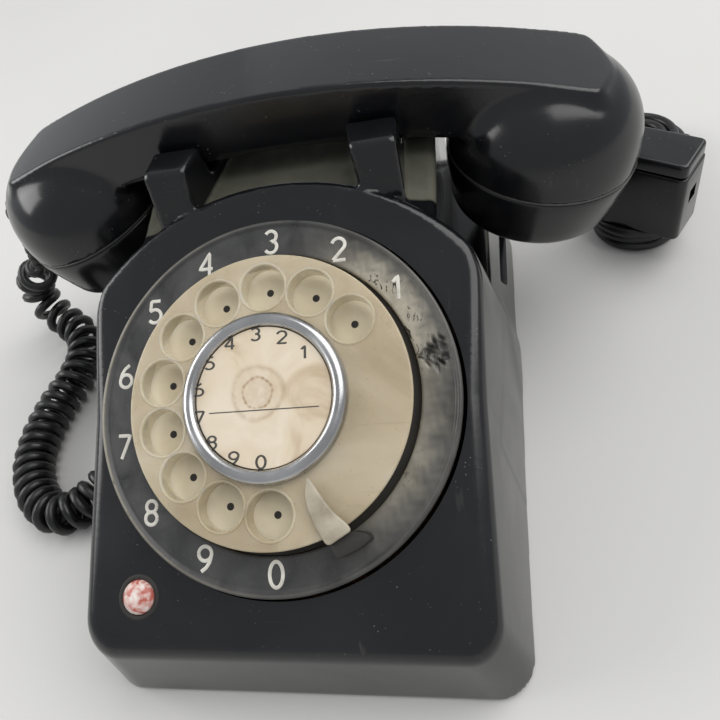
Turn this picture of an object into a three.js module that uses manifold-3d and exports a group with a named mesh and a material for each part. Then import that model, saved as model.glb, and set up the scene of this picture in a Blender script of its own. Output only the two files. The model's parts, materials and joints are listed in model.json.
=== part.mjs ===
// Desk telephone with a rotary dial: body, dial mechanism, ringer, hook switch, handset and cords.
// Millimetres, +Z up, front faces -Y. Heights are above the table. Inside the phone group the
// dial's centre is at y = 0, and the group is shifted so that the body is centred on the origin.
import * as THREE from 'three';
import { mergeVertices } from 'three/addons/utils/BufferGeometryUtils.js';
import Module from 'manifold-3d';

const wasm = await Module();
wasm.setup();

// ---------- driving dimensions ----------
const GAP = 0.3;                       // clearance between neighbouring pieces
const BASE_HALF_WIDTH = 68.2;          // body at the table, at its front
const BASE_FLARE = 0.0003;             // the base widens by this share per millimetre towards the rear
const FRONT_Y = -64.5;
const REAR_Y = 135.5;
const BODY_CENTER_Y = (FRONT_Y + REAR_Y) / 2;
const HOUSING_BOTTOM = 1.5;
const WALL = 2.6;

const DIAL_Z = 68.6;                   // centre of the dial above the table
const TILT = THREE.MathUtils.degToRad(25.9);
const FACE_DROP = 2.8;                 // the body's face lies this far below the number ring
const FACE_HALF_WIDTH = 59.5;
const FACE_FRONT = -69.5;              // along the face, from the dial's centre
const FACE_ARC = 69.7;                 // round top of the face, about the dial's centre
const DIAL_OPENING = 55.9;

const NECK_HALF_WIDTH = 49.5;          // raised block between the handset's cups
const NECK_TOP = 90;
const SHELF_TOP = 44;                  // lower part of the body, under the cups
const CRADLE_Y = 92.4;                 // the handset's long axis
const CRADLE_REST = 94.6;
const PRONG_TOP = 106;

const WHEEL_RADIUS = 42;               // finger wheel
const WHEEL_TOP = 5.4;
const WHEEL_UNDER = 2.9;
const CARD_SEAT = 6.6;                 // top of the wheel's middle, which the label card lies on
const HOLE_CIRCLE = 32.5;
const HOLE_RADIUS = 6.7;
const FIRST_HOLE = THREE.MathUtils.degToRad(39.2);
const HOLE_STEP = THREE.MathUtils.degToRad(25.9);
const RING_OUTER = 54.9;
const RING_INNER = 43.6;
const HUB_OUTER = 24.4;
const HUB_INNER = 20.3;

const GEAR_TEETH = 40;
const PINION_TEETH = 8;
const GEAR_MODULE = 1.2;
const GOVERNOR_OFFSET = GEAR_MODULE * (GEAR_TEETH + PINION_TEETH) / 2 + 0.25;
const GOVERNOR_ANGLE = THREE.MathUtils.degToRad(90);

const BUTTON_U = -42.3;                // recall button on the face
const BUTTON_V = -54.7;
const BUTTON_RADIUS = 4.9;

const CROWN_RADIUS = 308.8;            // long arch of the handset's back
const CROWN_TOP = 118.1;
const BAR_HALF_LENGTH = 99;
const BAR_DEPTH = 32.4;
const BAR_THICKNESS = 20.2;
const CUP_X = 83.2;                    // centre of the seam between cup and cap
const CUP_Z = 75.5;
const CUP_RADIUS = 31.4;
const CUP_HEIGHT = 29.5;
const CUP_TILT = THREE.MathUtils.degToRad(11.7);
const CAP_HEIGHT = 21;

const CURL_RADIUS = 8.4;               // outer radius of the curly cord
const LINE_RADIUS = 2.2;
const HANK_CENTER = new THREE.Vector2(129, 151);
const HANK_TURN = THREE.MathUtils.degToRad(-10.5);
const HANK_LENGTH = 88;
const HANK_HALF_WIDTH = 21;
const HANK_HEIGHT = 13.2;

// ---------- materials ----------
function finish(color, roughness, metalness = 0, opacity = 1) {
  return new THREE.MeshStandardMaterial({
    color, roughness, metalness, opacity, transparent: opacity < 1,
  });
}
const BLACK = finish(0x17181a, 0.32);
const RING_BLACK = finish(0x222222, 0.5);
const IVORY = finish(0xcdc3a3, 0.3, 0, 0.8);
const BEIGE = finish(0xc4b995, 0.5);
const CHROME = finish(0xc8c8c8, 0.15, 1);
const STEEL = finish(0x9a9c9e, 0.35, 1);
const BRASS = finish(0xb89a4e, 0.3, 1);
const COPPER = finish(0x9a5a34, 0.45, 0.6);
const CARD = finish(0xe4d8bf, 0.8);
const CLEAR = finish(0xf4f2ea, 0.08, 0, 0.3);
const STOP_GREY = finish(0xa79f8a, 0.45);
const BUTTON_RED = finish(0xc9a8a0, 0.4);
const RUBBER = finish(0x141414, 0.8);
const BOARD = finish(0x6b5a35, 0.6);
const PHENOLIC = finish(0x4a3423, 0.6);
const CORD = finish(0x161616, 0.55);

// ---------- geometry helpers ----------
function toManifold(geometry) {
  const bare = geometry.clone();
  bare.deleteAttribute('normal');
  bare.deleteAttribute('uv');
  const merged = mergeVertices(bare, 1e-4);
  return new wasm.Manifold(new wasm.Mesh({
    numProp: 3,
    vertProperties: new Float32Array(merged.attributes.position.array),
    triVerts: new Uint32Array(merged.index.array),
  }));
}

function toGeometry(manifold) {
  const mesh = manifold.getMesh();
  const geometry = new THREE.BufferGeometry();
  geometry.setAttribute('position', new THREE.BufferAttribute(mesh.vertProperties, 3));
  geometry.setIndex(new THREE.BufferAttribute(mesh.triVerts, 1));
  geometry.computeVertexNormals();
  return geometry;
}

function join(...geometries) {
  return toGeometry(geometries.map(toManifold).reduce((a, b) => a.add(b)));
}

function cut(geometry, ...tools) {
  return toGeometry(tools.map(toManifold).reduce((a, b) => a.subtract(b), toManifold(geometry)));
}

function box(x0, x1, y0, y1, z0, z1) {
  const geometry = new THREE.BoxGeometry(x1 - x0, y1 - y0, z1 - z0);
  return geometry.translate((x0 + x1) / 2, (y0 + y1) / 2, (z0 + z1) / 2);
}

// Lathe about Z. The profile runs from bottom to top as [radius, height] pairs.
function turned(profile, segments = 24) {
  const points = profile.map(([r, z]) => new THREE.Vector2(r, z));
  return new THREE.LatheGeometry(points, segments).rotateX(Math.PI / 2);
}

function disc(radius, z0, z1, segments = 20) {
  return turned([[0, z0], [radius, z0], [radius, z1], [0, z1]], segments);
}

function ringSolid(inner, outer, z0, z1, segments = 24) {
  return turned([[inner, z0], [outer, z0], [outer, z1], [inner, z1], [inner, z0]], segments);
}

// Solid between outlines with equal point counts, each anticlockwise seen from above.
function loft(rings) {
  const count = rings[0].length;
  const positions = rings.flat().flatMap((p) => [p.x, p.y, p.z]);
  const index = [];
  for (let i = 0; i + 1 < rings.length; i++) {
    for (let j = 0; j < count; j++) {
      const a = i * count + j;
      const b = i * count + (j + 1) % count;
      index.push(a, b, b + count, a, b + count, a + count);
    }
  }
  const top = (rings.length - 1) * count;
  for (let j = 1; j + 1 < count; j++) {
    index.push(0, j + 1, j, top, top + j, top + j + 1);
  }
  const geometry = new THREE.BufferGeometry();
  geometry.setAttribute('position', new THREE.Float32BufferAttribute(positions, 3));
  geometry.setIndex(index);
  geometry.computeVertexNormals();
  return geometry;
}

function arcPoints(cx, cy, radius, from, to, segments) {
  return Array.from({ length: segments + 1 }, (_, i) => {
    const angle = from + (to - from) * i / segments;
    return [cx + radius * Math.cos(angle), cy + radius * Math.sin(angle)];
  });
}

function roundedBox(halfX, y0, y1, radius, segments = 4) {
  const quarter = Math.PI / 2;
  return [
    ...arcPoints(-halfX + radius, y0 + radius, radius, 2 * quarter, 3 * quarter, segments),
    ...arcPoints(halfX - radius, y0 + radius, radius, 3 * quarter, 4 * quarter, segments),
    ...arcPoints(halfX - radius, y1 - radius, radius, 0, quarter, segments),
    ...arcPoints(-halfX + radius, y1 - radius, radius, quarter, 2 * quarter, segments),
  ];
}

// Straight sides and front with rounded front corners, closed by an arc about the dial's axis.
function tombstone(halfWidth, front, cornerRadius, arcRadius) {
  const half = Math.PI / 2;
  const start = Math.acos(halfWidth / arcRadius);
  return [
    ...arcPoints(-halfWidth + cornerRadius, front + cornerRadius, cornerRadius, 2 * half, 3 * half, 4),
    ...arcPoints(halfWidth - cornerRadius, front + cornerRadius, cornerRadius, 3 * half, 4 * half, 4),
    ...arcPoints(0, 0, arcRadius, start, Math.PI - start, 16),
  ];
}

function atHeight(outline, z) {
  return outline.map(([x, y]) => new THREE.Vector3(x, y, z));
}

// A point given in the dial's own axes: u to the right, v up the face, n out of it.
function onDial(u, v, n) {
  return new THREE.Vector3(
    u,
    v * Math.cos(TILT) - n * Math.sin(TILT),
    DIAL_Z + v * Math.sin(TILT) + n * Math.cos(TILT),
  );
}

function toDialFrame(geometry) {
  return geometry.rotateX(TILT).translate(0, 0, DIAL_Z);
}

function shapeFrom(points) {
  return new THREE.Shape(points.map(([x, y]) => new THREE.Vector2(x, y)));
}

function plate(points, z0, z1) {
  return new THREE.ExtrudeGeometry(shapeFrom(points), { depth: z1 - z0, bevelEnabled: false })
    .translate(0, 0, z0);
}

function smoothCurve(points) {
  return new THREE.CatmullRomCurve3(points.map((p) => new THREE.Vector3(...p)), false, 'centripetal');
}

function tube(points, radius, sides, steps) {
  const section = shapeFrom(arcPoints(0, 0, radius, 0, 2 * Math.PI * (1 - 1 / sides), sides - 1));
  const extrudePath = smoothCurve(points);
  return new THREE.ExtrudeGeometry(section, { steps, extrudePath, bevelEnabled: false });
}

function tooth(index, teeth, pitchRadius) {
  const step = 2 * Math.PI / teeth;
  const mid = index * step;
  const foot = pitchRadius - 1.15 * GEAR_MODULE;
  const tip = pitchRadius + 0.75 * GEAR_MODULE;
  const half = step / 4 - 0.06 / pitchRadius;
  return [[foot, -1.35], [tip, -0.5], [tip, 0.5], [foot, 1.35]].map(([r, side]) => [
    r * Math.cos(mid + side * half), r * Math.sin(mid + side * half)]);
}

function gearOutline(teeth, phase = 0) {
  const pitchRadius = GEAR_MODULE * teeth / 2;
  return Array.from({ length: teeth }, (_, i) => tooth(i + phase, teeth, pitchRadius)).flat();
}

// ---------- assembly ----------
const phone = new THREE.Group();
phone.position.y = -BODY_CENTER_Y;
const dial = new THREE.Group();
dial.position.z = DIAL_Z;
dial.rotation.x = TILT;
phone.add(dial);

function place(name, geometry, material, parent = phone) {
  const mesh = new THREE.Mesh(geometry, material);
  mesh.name = name;
  parent.add(mesh);
  return mesh;
}

// ---------- body ----------
function flared(outline) {
  return outline.map(([x, y]) => [x * (1 + (y - FRONT_Y) * BASE_FLARE), y]);
}

function frontBlock(inset) {
  const bottom = inset ? HOUSING_BOTTOM - 2 : HOUSING_BOTTOM;
  const face = -FACE_DROP - inset;
  const outline = (grow, n) => tombstone(
    FACE_HALF_WIDTH + grow - inset, FACE_FRONT - grow + inset, 9, FACE_ARC + grow - inset,
  ).map(([u, v]) => onDial(u, v, n));
  const foot = flared(tombstone(BASE_HALF_WIDTH - inset, FRONT_Y + inset, 12, 78 - inset));
  return loft([
    atHeight(foot, bottom), outline(0.8, face - 5), outline(0, face - 2.6), outline(-1.5, face - 0.8),
    outline(-4, face),
  ]);
}

function shelfBlock(inset) {
  const bottom = inset ? HOUSING_BOTTOM - 2 : HOUSING_BOTTOM;
  const top = SHELF_TOP - inset;
  return loft([
    atHeight(flared(roundedBox(BASE_HALF_WIDTH - inset, 0, REAR_Y - inset, 13)), bottom),
    atHeight(roundedBox(62.4 - inset, 0, REAR_Y - 4 - inset, 12), top - 3),
    atHeight(roundedBox(59.8 - inset, 0, REAR_Y - 6.5 - inset, 10), top),
  ]);
}

function neckBlock(inset) {
  const half = NECK_HALF_WIDTH - inset;
  const aboveFace = toDialFrame(box(-80, 80, -120, 90, -FACE_DROP - inset - 0.5, 80));
  return cut(loft([
    atHeight(roundedBox(half, 20, REAR_Y - 4.5 - inset, 9), SHELF_TOP - 12),
    atHeight(roundedBox(half, 20, REAR_Y - 6 - inset, 9), NECK_TOP - inset - 2.5),
    atHeight(roundedBox(half - 0.8, 20, REAR_Y - 6.8 - inset, 8.5), NECK_TOP - inset - 0.8),
    atHeight(roundedBox(half - 2.5, 20, REAR_Y - 8.5 - inset, 7), NECK_TOP - inset),
  ]), aboveFace);
}

// Saddle under one end of the handle: a front and a rear prong joined by a low rest.
function saddle(side) {
  const foot = NECK_TOP - 3;
  const outline = [
    [-35, foot], [0, foot], [35, foot], [35, NECK_TOP], [30.4, PRONG_TOP - 1], [29, PRONG_TOP],
    [18.6, PRONG_TOP], [17.6, PRONG_TOP - 1], [16.8, CRADLE_REST], [0, CRADLE_REST],
    [-16.8, CRADLE_REST], [-17.6, PRONG_TOP - 1], [-18.6, PRONG_TOP], [-29, PRONG_TOP],
    [-30.4, PRONG_TOP - 1], [-35, NECK_TOP],
  ];
  const near = outline.map(([d, z]) => [21 + 6.4 * Math.abs(d) / 35, CRADLE_Y + d, z]);
  const far = outline.map(([d, z]) => [39.3 + 1.6 * Math.abs(d) / 35, CRADLE_Y + d, z]);
  const caps = THREE.ShapeUtils.triangulateShape(outline.map((p) => new THREE.Vector2(...p)), []);
  const count = outline.length;
  const index = caps.flatMap(([a, b, c]) => [a, c, b, a + count, b + count, c + count]);
  for (let j = 0; j < count; j++) {
    const k = (j + 1) % count;
    index.push(j, k, k + count, j, k + count, j + count);
  }
  const geometry = new THREE.BufferGeometry();
  geometry.setAttribute('position', new THREE.Float32BufferAttribute([...near, ...far].flat(), 3));
  geometry.setIndex(index);
  return side > 0 ? geometry : geometry.rotateZ(Math.PI).translate(0, 2 * CRADLE_Y, 0);
}

const PLUNGER_X = 31;
const PLUNGER_RADIUS = 2.8;
const CURLY_EXIT = [-67.8, 8, 12];
const LINE_EXIT = [30, 134, 12];
const BOSSES = [[0, -56], [0, 121]];
const VENT_FRONT = 79.5;
const VENT_REAR = 117;
const VENT_Z = 19;
const VENT_HEIGHT = 9;

// One long round-ended vent runs through both side walls.
function sideVents() {
  const radius = VENT_HEIGHT / 2;
  const end = (y, from, to) => arcPoints(y, VENT_Z, radius, from, to, 8);
  const outline = [
    ...end(VENT_REAR - radius, -Math.PI / 2, Math.PI / 2),
    ...end(VENT_FRONT + radius, Math.PI / 2, 1.5 * Math.PI),
  ];
  return plate(outline, -80, 80).applyMatrix4(new THREE.Matrix4().set(
    0, 0, 1, 0, 1, 0, 0, 0, 0, 1, 0, 0, 0, 0, 0, 1));
}

function housing() {
  const outer = [frontBlock(0), shelfBlock(0), neckBlock(0)].map(toManifold).reduce((a, b) => a.add(b));
  const inner = [frontBlock(WALL), shelfBlock(WALL), neckBlock(WALL)].map(toManifold)
    .reduce((a, b) => a.add(b));
  const posts = BOSSES.map(([x, y]) => toManifold(disc(4, 4.6, 100, 10).translate(x, y, 0)))
    .reduce((a, b) => a.add(b)).intersect(outer);
  const saddles = toManifold(saddle(1)).add(toManifold(saddle(-1)));
  let shell = outer.subtract(inner).add(posts).add(saddles);
  const tools = [
    toDialFrame(disc(DIAL_OPENING, -14, 6, 40)),
    toDialFrame(disc(BUTTON_RADIUS + 0.7, -14, 4, 16).translate(BUTTON_U, BUTTON_V, 0)),
    disc(4.4, -8, 8, 14).rotateY(Math.PI / 2).translate(...CURLY_EXIT),
    disc(3.6, -8, 8, 14).rotateX(Math.PI / 2).translate(...LINE_EXIT),
    ...BOSSES.map(([x, y]) => disc(1.5, 0, 16, 8).translate(x, y, 0)),
    ...[-1, 1].map((side) => disc(PLUNGER_RADIUS + GAP, 80, 110, 14)
      .translate(side * PLUNGER_X, CRADLE_Y, 0)),
    sideVents(),
  ];
  for (const tool of tools) {
    shell = shell.subtract(toManifold(tool));
  }
  return toGeometry(shell);
}

function basePlate() {
  const plateBody = plate(roundedBox(64.2, FRONT_Y + 4, REAR_Y - 4.2, 12), 2.3, 4.2);
  const standoffs = [[-40, -46], [40, -46], [-40, -6], [40, -6]].map(([x, y]) => (
    disc(2.5, 4, 7.7, 8).translate(x, y, 0)));
  const holes = BOSSES.map(([x, y]) => disc(1.6, 0, 8, 12).translate(x, y, 0));
  return cut(join(plateBody, ...standoffs), ...holes);
}

function addBody() {
  place('housing', housing(), BLACK);
  place('base_plate', basePlate(), PHENOLIC);
  const names = ['foot_front_left', 'foot_front_right', 'foot_rear_left', 'foot_rear_right'];
  [[-48, -44], [48, -44], [-48, 116], [48, 116]].forEach(([x, y], i) => {
    const foot = place(names[i], turned([[0, 0], [6.4, 0], [7, 0.6], [7, 2], [0, 2]], 16), RUBBER);
    foot.position.set(x, y, 0);
  });
  ['base_screw_front', 'base_screw_rear'].forEach((name, i) => {
    const profile = [[0, 0.8], [2.6, 0.8], [3, 1.2], [3, 2], [1.2, 2], [1.2, 12], [0, 12.6]];
    place(name, turned(profile, 12), STEEL).position.set(...BOSSES[i], 0);
  });
}

// ---------- dial ----------
function holeCenter(i) {
  const angle = FIRST_HOLE + i * HOLE_STEP;
  return [HOLE_CIRCLE * Math.cos(angle), HOLE_CIRCLE * Math.sin(angle)];
}

// The middle of the finger wheel is a low step that holds the label card inside the hub ring.
function fingerWheel() {
  const seat = HUB_INNER - GAP;
  const wheel = turned([
    [0, WHEEL_UNDER], [WHEEL_RADIUS - 0.6, WHEEL_UNDER], [WHEEL_RADIUS, WHEEL_UNDER + 0.8],
    [WHEEL_RADIUS, WHEEL_TOP - 0.7], [WHEEL_RADIUS - 0.7, WHEEL_TOP], [seat, WHEEL_TOP],
    [seat, CARD_SEAT], [0, CARD_SEAT],
  ], 48);
  const holes = Array.from({ length: 10 }, (_, i) => (
    disc(HOLE_RADIUS, 0, 10, 16).translate(...holeCenter(i), 0)));
  return cut(wheel, ...holes);
}

// Curved horn that stands on the number ring and reaches in over the finger wheel.
function fingerStop() {
  const blade = plate([[12.7, -22.4], [14.5, -24.6], [16.8, -28.2], [19.7, -31.9], [23.5, -35.2],
    [25.4, -38.2], [19.2, -43], [14.9, -36.1], [12.8, -31.3], [12, -27.6]], 6.3, 7.7);
  const foot = plate([[17.6, -40.7], [24.2, -36.6], [28.3, -37.6], [26.2, -40.8], [20, -44]], GAP, 7);
  return cut(join(blade, foot), disc(WHEEL_RADIUS + 0.7, -1, 6.2, 48));
}

function dialFrame() {
  const cup = turned([
    [3.4, -32], [40, -32], [40, -4.4], [38.4, -4.4], [38.4, -30], [3.4, -30], [3.4, -32],
  ], 32);
  const hole = disc(1.5, -34, -28, 12).translate(...governorPlace(), 0);
  return cut(cup, hole);
}

function governorPlace() {
  return [GOVERNOR_OFFSET * Math.cos(GOVERNOR_ANGLE), GOVERNOR_OFFSET * Math.sin(GOVERNOR_ANGLE)];
}

function pulseCam() {
  const outline = Array.from({ length: 40 }, (_, i) => {
    const radius = i % 4 < 2 ? 13 : 10.8;
    return [radius * Math.cos(i * Math.PI / 20), radius * Math.sin(i * Math.PI / 20)];
  });
  return cut(plate(outline, -22, -20), disc(3.3, -24, -18, 20));
}

function returnSpring() {
  const turns = 4;
  const spiral = (offset) => Array.from({ length: 49 }, (_, i) => {
    const angle = turns * 2 * Math.PI * i / 48;
    const radius = 5.4 + offset + angle / Math.PI;
    return [radius * Math.cos(angle), radius * Math.sin(angle)];
  });
  return plate([...spiral(0.45), ...spiral(0).reverse()], -10, -7);
}

function governorRotor() {
  const pinionTurn = Math.PI / PINION_TEETH;
  const pinion = plate(gearOutline(PINION_TEETH), -16, -13).rotateZ(
    -GOVERNOR_ANGLE + pinionTurn + Math.PI);
  const shaft = disc(1.2, -31, -12, 12);
  const arm = box(-5.6, 5.6, -1, 1, -25.5, -24);
  const weights = [-1, 1].map((side) => disc(1.9, -28, -22, 12).translate(side * 5, 0, 0));
  return join(pinion, shaft, arm, ...weights);
}

function pulseContacts() {
  const block = box(-37, -27, -6, 6, -27, -16);
  const blades = [-23.6, -20.8, -18].map((n) => box(-28, -14.4, -2.5, 2.5, n - 0.2, n + 0.2));
  return join(block, ...blades);
}

function addDial() {
  place('number_ring', turned([
    [RING_INNER, -3.2], [52.6, -3.2], [52.6, -9], [54.2, -9], [RING_OUTER, -2], [RING_OUTER, 0.3],
    [54.2, 0.8], [53, 0], [RING_INNER, 0], [RING_INNER, -3.2],
  ], 48), RING_BLACK, dial);
  place('dial_plate', ringSolid(4, 43.2, -2.3, -1.1, 36), BEIGE, dial);
  place('dial_frame', dialFrame(), STEEL, dial);
  place('finger_stop', fingerStop(), STOP_GREY, dial);
  const governorCup = ringSolid(8.1, 9, -29.7, -21, 32);
  place('governor_cup', governorCup.translate(...governorPlace(), 0), BRASS, dial);
  place('return_spring', returnSpring(), STEEL, dial);
  place('pulse_contacts', pulseContacts(), PHENOLIC, dial);
  place('finger_wheel', fingerWheel(), IVORY, dial);
  place('hub_ring', turned([
    [HUB_INNER, 5.7], [HUB_OUTER, 5.7], [HUB_OUTER, 7.2], [23.6, 8.4], [22.3, 8.8], [21.1, 8.5],
    [HUB_INNER, 7.9], [HUB_INNER, 5.7],
  ], 32), CHROME, dial);
  const card = CARD_SEAT + GAP;
  const cover = card + 0.6;
  const rim = HUB_INNER - GAP;
  place('label_card', disc(rim, card, card + 0.3, 24), CARD, dial);
  place('label_cover', turned([
    [0, cover], [rim, cover], [rim, cover + 0.4], [12, cover + 0.9], [0, cover + 1.2],
  ], 24), CLEAR, dial);
  place('dial_shaft', disc(3, -33, WHEEL_UNDER - GAP, 16), STEEL, dial);
  const gear = plate(gearOutline(GEAR_TEETH), -15.8, -13.2);
  place('main_gear', cut(gear, disc(3.3, -18, -10, 16)), BRASS, dial);
  place('pulse_cam', pulseCam(), PHENOLIC, dial);
  place('governor_rotor', governorRotor().translate(...governorPlace(), 0), STEEL, dial);
}

// ---------- recall button ----------
function addRecallButton() {
  const face = -FACE_DROP;
  const button = new THREE.Group();
  button.position.set(BUTTON_U, BUTTON_V, 0);
  dial.add(button);
  place('recall_button', turned([
    [0, face - 12], [2, face - 12], [2, face - 7], [BUTTON_RADIUS, face - 7], [BUTTON_RADIUS, face + 0.4],
    [4.2, face + 1.4], [2.6, face + 2.1], [0, face + 2.4],
  ], 18), BUTTON_RED, button);
  place('button_bush', turned([
    [5.3, face - 11.5], [7.4, face - 11.5], [7.4, face - 3], [5.3, face - 3], [5.3, face - 11.5],
  ], 24), STEEL, button);
  const blades = [-16, -18].map((n) => box(-2, 12, -2, 2, face + n, face + n + 0.4));
  place('recall_switch', join(box(9, 15, -3, 3, face - 21, face - 14), ...blades), PHENOLIC, button);
}

// ---------- hook switch ----------
const HOOK_AXIS = [70, 80];            // y and z of the lever's pin

function addHookSwitch() {
  const top = CROWN_TOP - BAR_THICKNESS - crownDrop(PLUNGER_X) - 0.4;
  [['hook_plunger_left', -1], ['hook_plunger_right', 1]].forEach(([name, side]) => {
    const plunger = turned([
      [0, 81.4], [PLUNGER_RADIUS, 81.4], [PLUNGER_RADIUS, top - 1.2], [1.8, top - 0.2], [0, top],
    ], 14);
    place(name, plunger, BLACK).position.set(side * PLUNGER_X, CRADLE_Y, 0);
  });
  const [y, z] = HOOK_AXIS;
  const pin = disc(1, -25, 25, 12).rotateY(Math.PI / 2).translate(0, y, z);
  const barrel = disc(2, -21.6, 21.6, 12).rotateY(Math.PI / 2).translate(0, y, z);
  const blade = box(-35, 35, y + 4, y + 26, z - 0.5, z + 1);
  const neck = box(-21, 21, y, y + 5, z - 0.5, z + 1);
  place('hook_lever', join(pin, barrel, blade, neck), STEEL);
  const ears = [-1, 1].map((side) => box(side * 23.5 - 1.5, side * 23.5 + 1.5, 60, y + 2.5, z - 4, z + 5));
  const bar = box(-25, 25, 60, 65, z - 4, z + 5);
  place('hook_frame', cut(join(bar, ...ears), disc(1.3, -30, 30, 12).rotateY(Math.PI / 2)
    .translate(0, y, z)), STEEL);
  const leaves = [62, 66, 70].map((level) => box(-4, 4, 76, 92, level, level + 0.5));
  place('hook_contacts', join(box(-7, 7, 68, 77, 58, 74), ...leaves), PHENOLIC);
}

// ---------- ringer ----------
const RINGER_Y = 92;
const GONG_X = 26;
const CLAPPER_Z = 20;

function addRinger() {
  const floor = box(-44, 44, RINGER_Y - 20, RINGER_Y + 20, 7, 9);
  const yokes = [-7, 7].map((dy) => box(-5, 5, RINGER_Y + dy - 1.2, RINGER_Y + dy + 1.2, 8, 24));
  const posts = [-1, 1].map((side) => disc(2, 8, 60, 12).translate(side * GONG_X, RINGER_Y + 12, 0));
  const pinHole = disc(1.3, -12, 12, 12).rotateX(Math.PI / 2).translate(0, RINGER_Y, CLAPPER_Z);
  place('ringer_frame', cut(join(floor, ...yokes, ...posts), pinHole), STEEL);
  [['left', -1], ['right', 1]].forEach(([word, side]) => {
    place(`ringer_coil_${word}`, turned([
      [0, 9.3], [9, 9.3], [9, 11], [7.4, 11], [7.4, 30], [9, 30], [9, 31.7], [0, 31.7],
    ], 14), COPPER).position.set(side * 18, RINGER_Y - 6, 0);
    place(`gong_${word}`, turned([
      [16.9, 46], [18, 46], [17.2, 51], [13.5, 55.4], [7, 57.6], [2.3, 58], [2.3, 56.8], [6.6, 56.5],
      [12.6, 54.4], [16, 50.6], [16.9, 46],
    ], 18), BRASS).position.set(side * GONG_X, RINGER_Y + 12, 0);
  });
  const armature = box(-4.6, 4.6, RINGER_Y - 4.5, RINGER_Y + 4.5, CLAPPER_Z - 3, CLAPPER_Z + 3);
  const pin = disc(1, -8.6, 8.6, 12).rotateX(Math.PI / 2).translate(0, RINGER_Y, CLAPPER_Z);
  const rod = tube([
    [0, RINGER_Y, 20], [0, RINGER_Y, 34], [0, RINGER_Y + 6, 42], [0, RINGER_Y + 12, 48],
  ], 1, 8, 10);
  const ball = new THREE.SphereGeometry(3.2, 10, 8).translate(0, RINGER_Y + 12, 49);
  place('clapper', join(armature, pin, rod, ball), STEEL);
}

// ---------- circuit ----------
function addCircuit() {
  place('circuit_board', box(-46, 46, -50, -2, 8, 9.6), BOARD);
  place('capacitor', box(-32, -10, -42, -28, 9.9, 18.5), CHROME);
  place('induction_coil', join(box(10, 34, -44, -30, 9.9, 12), box(12, 32, -42, -32, 11, 19)), COPPER);
  const block = box(10, 34, 114, 124, 4.6, 12);
  const screws = [14, 22, 30].map((x) => disc(1.8, 11, 14, 12).translate(x, 119, 0));
  place('terminal_block', join(block, ...screws), PHENOLIC);
}

// ---------- handset ----------
function crownDrop(x) {
  return CROWN_RADIUS - Math.sqrt(CROWN_RADIUS ** 2 - x ** 2);
}

function handleBar() {
  const steps = 18;
  const along = (i) => -BAR_HALF_LENGTH + 2 * BAR_HALF_LENGTH * i / steps;
  const top = Array.from({ length: steps + 1 }, (_, i) => [along(i), CROWN_TOP - crownDrop(along(i))]);
  const under = top.map(([x, z]) => [x * 0.98, z - BAR_THICKNESS]);
  const bevel = 1.2;
  return new THREE.ExtrudeGeometry(shapeFrom([...under, ...top.reverse()]), {
    depth: BAR_DEPTH - 2 * bevel,
    bevelThickness: bevel,
    bevelSize: bevel,
    bevelOffset: -bevel,
    bevelSegments: 1,
  }).rotateX(Math.PI / 2).translate(0, CRADLE_Y + BAR_DEPTH / 2 - bevel, 0);
}

function bulbProfile() {
  const roundness = 2.4;
  const points = Array.from({ length: 10 }, (_, i) => {
    const angle = (Math.PI / 2) * i / 9;
    return [CUP_RADIUS * Math.cos(angle) ** (2 / roundness), CUP_HEIGHT * Math.sin(angle) ** (2 / roundness)];
  });
  points[9] = [0, CUP_HEIGHT];
  return [[0, 0], ...points];
}

function inCup(geometry, side) {
  return geometry.rotateY(side * CUP_TILT).translate(side * CUP_X, CRADLE_Y, CUP_Z);
}

function handsetShell() {
  const shell = join(handleBar(), inCup(turned(bulbProfile(), 28), -1), inCup(turned(bulbProfile(), 28), 1));
  const cavity = () => turned([[0, -2], [28, -2], [27, 8], [22, 16], [0, 18]], 24);
  const channel = box(-78, 78, CRADLE_Y - 5, CRADLE_Y + 5, 102, 106);
  const risers = [-75, 75].map((x) => box(x - 4, x + 4, CRADLE_Y - 5, CRADLE_Y + 5, 84, 105));
  return cut(shell, inCup(cavity(), -1), inCup(cavity(), 1), channel, ...risers);
}

function cap(side) {
  const floor = -CAP_HEIGHT;
  const body = turned([
    [0, floor], [26.2, floor], [28.2, floor + 2.6], [31.2, -6], [31.4, -GAP],
    [28.3, -GAP], [28, -6], [25, floor + 2.4], [0, floor + 2.4],
  ], 28);
  const holes = [[0, 0], ...arcPoints(0, 0, 9, 0, 5 * Math.PI / 3, 5)].map(([x, y]) => (
    disc(1.9, floor - 1, floor + 4, 8).translate(x, y, 0)));
  return inCup(cut(body, ...holes), side);
}

function addHandset() {
  place('handset_shell', handsetShell(), BLACK);
  place('mouth_cap', cap(-1), BLACK);
  place('ear_cap', cap(1), BLACK);
  const capsule = () => turned([[0, -15], [20, -15], [23.5, -13], [24.5, -6], [24.5, -3], [0, -3]], 20);
  place('transmitter', inCup(capsule(), -1), STEEL);
  place('receiver', inCup(capsule(), 1), STEEL);
}

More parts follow.
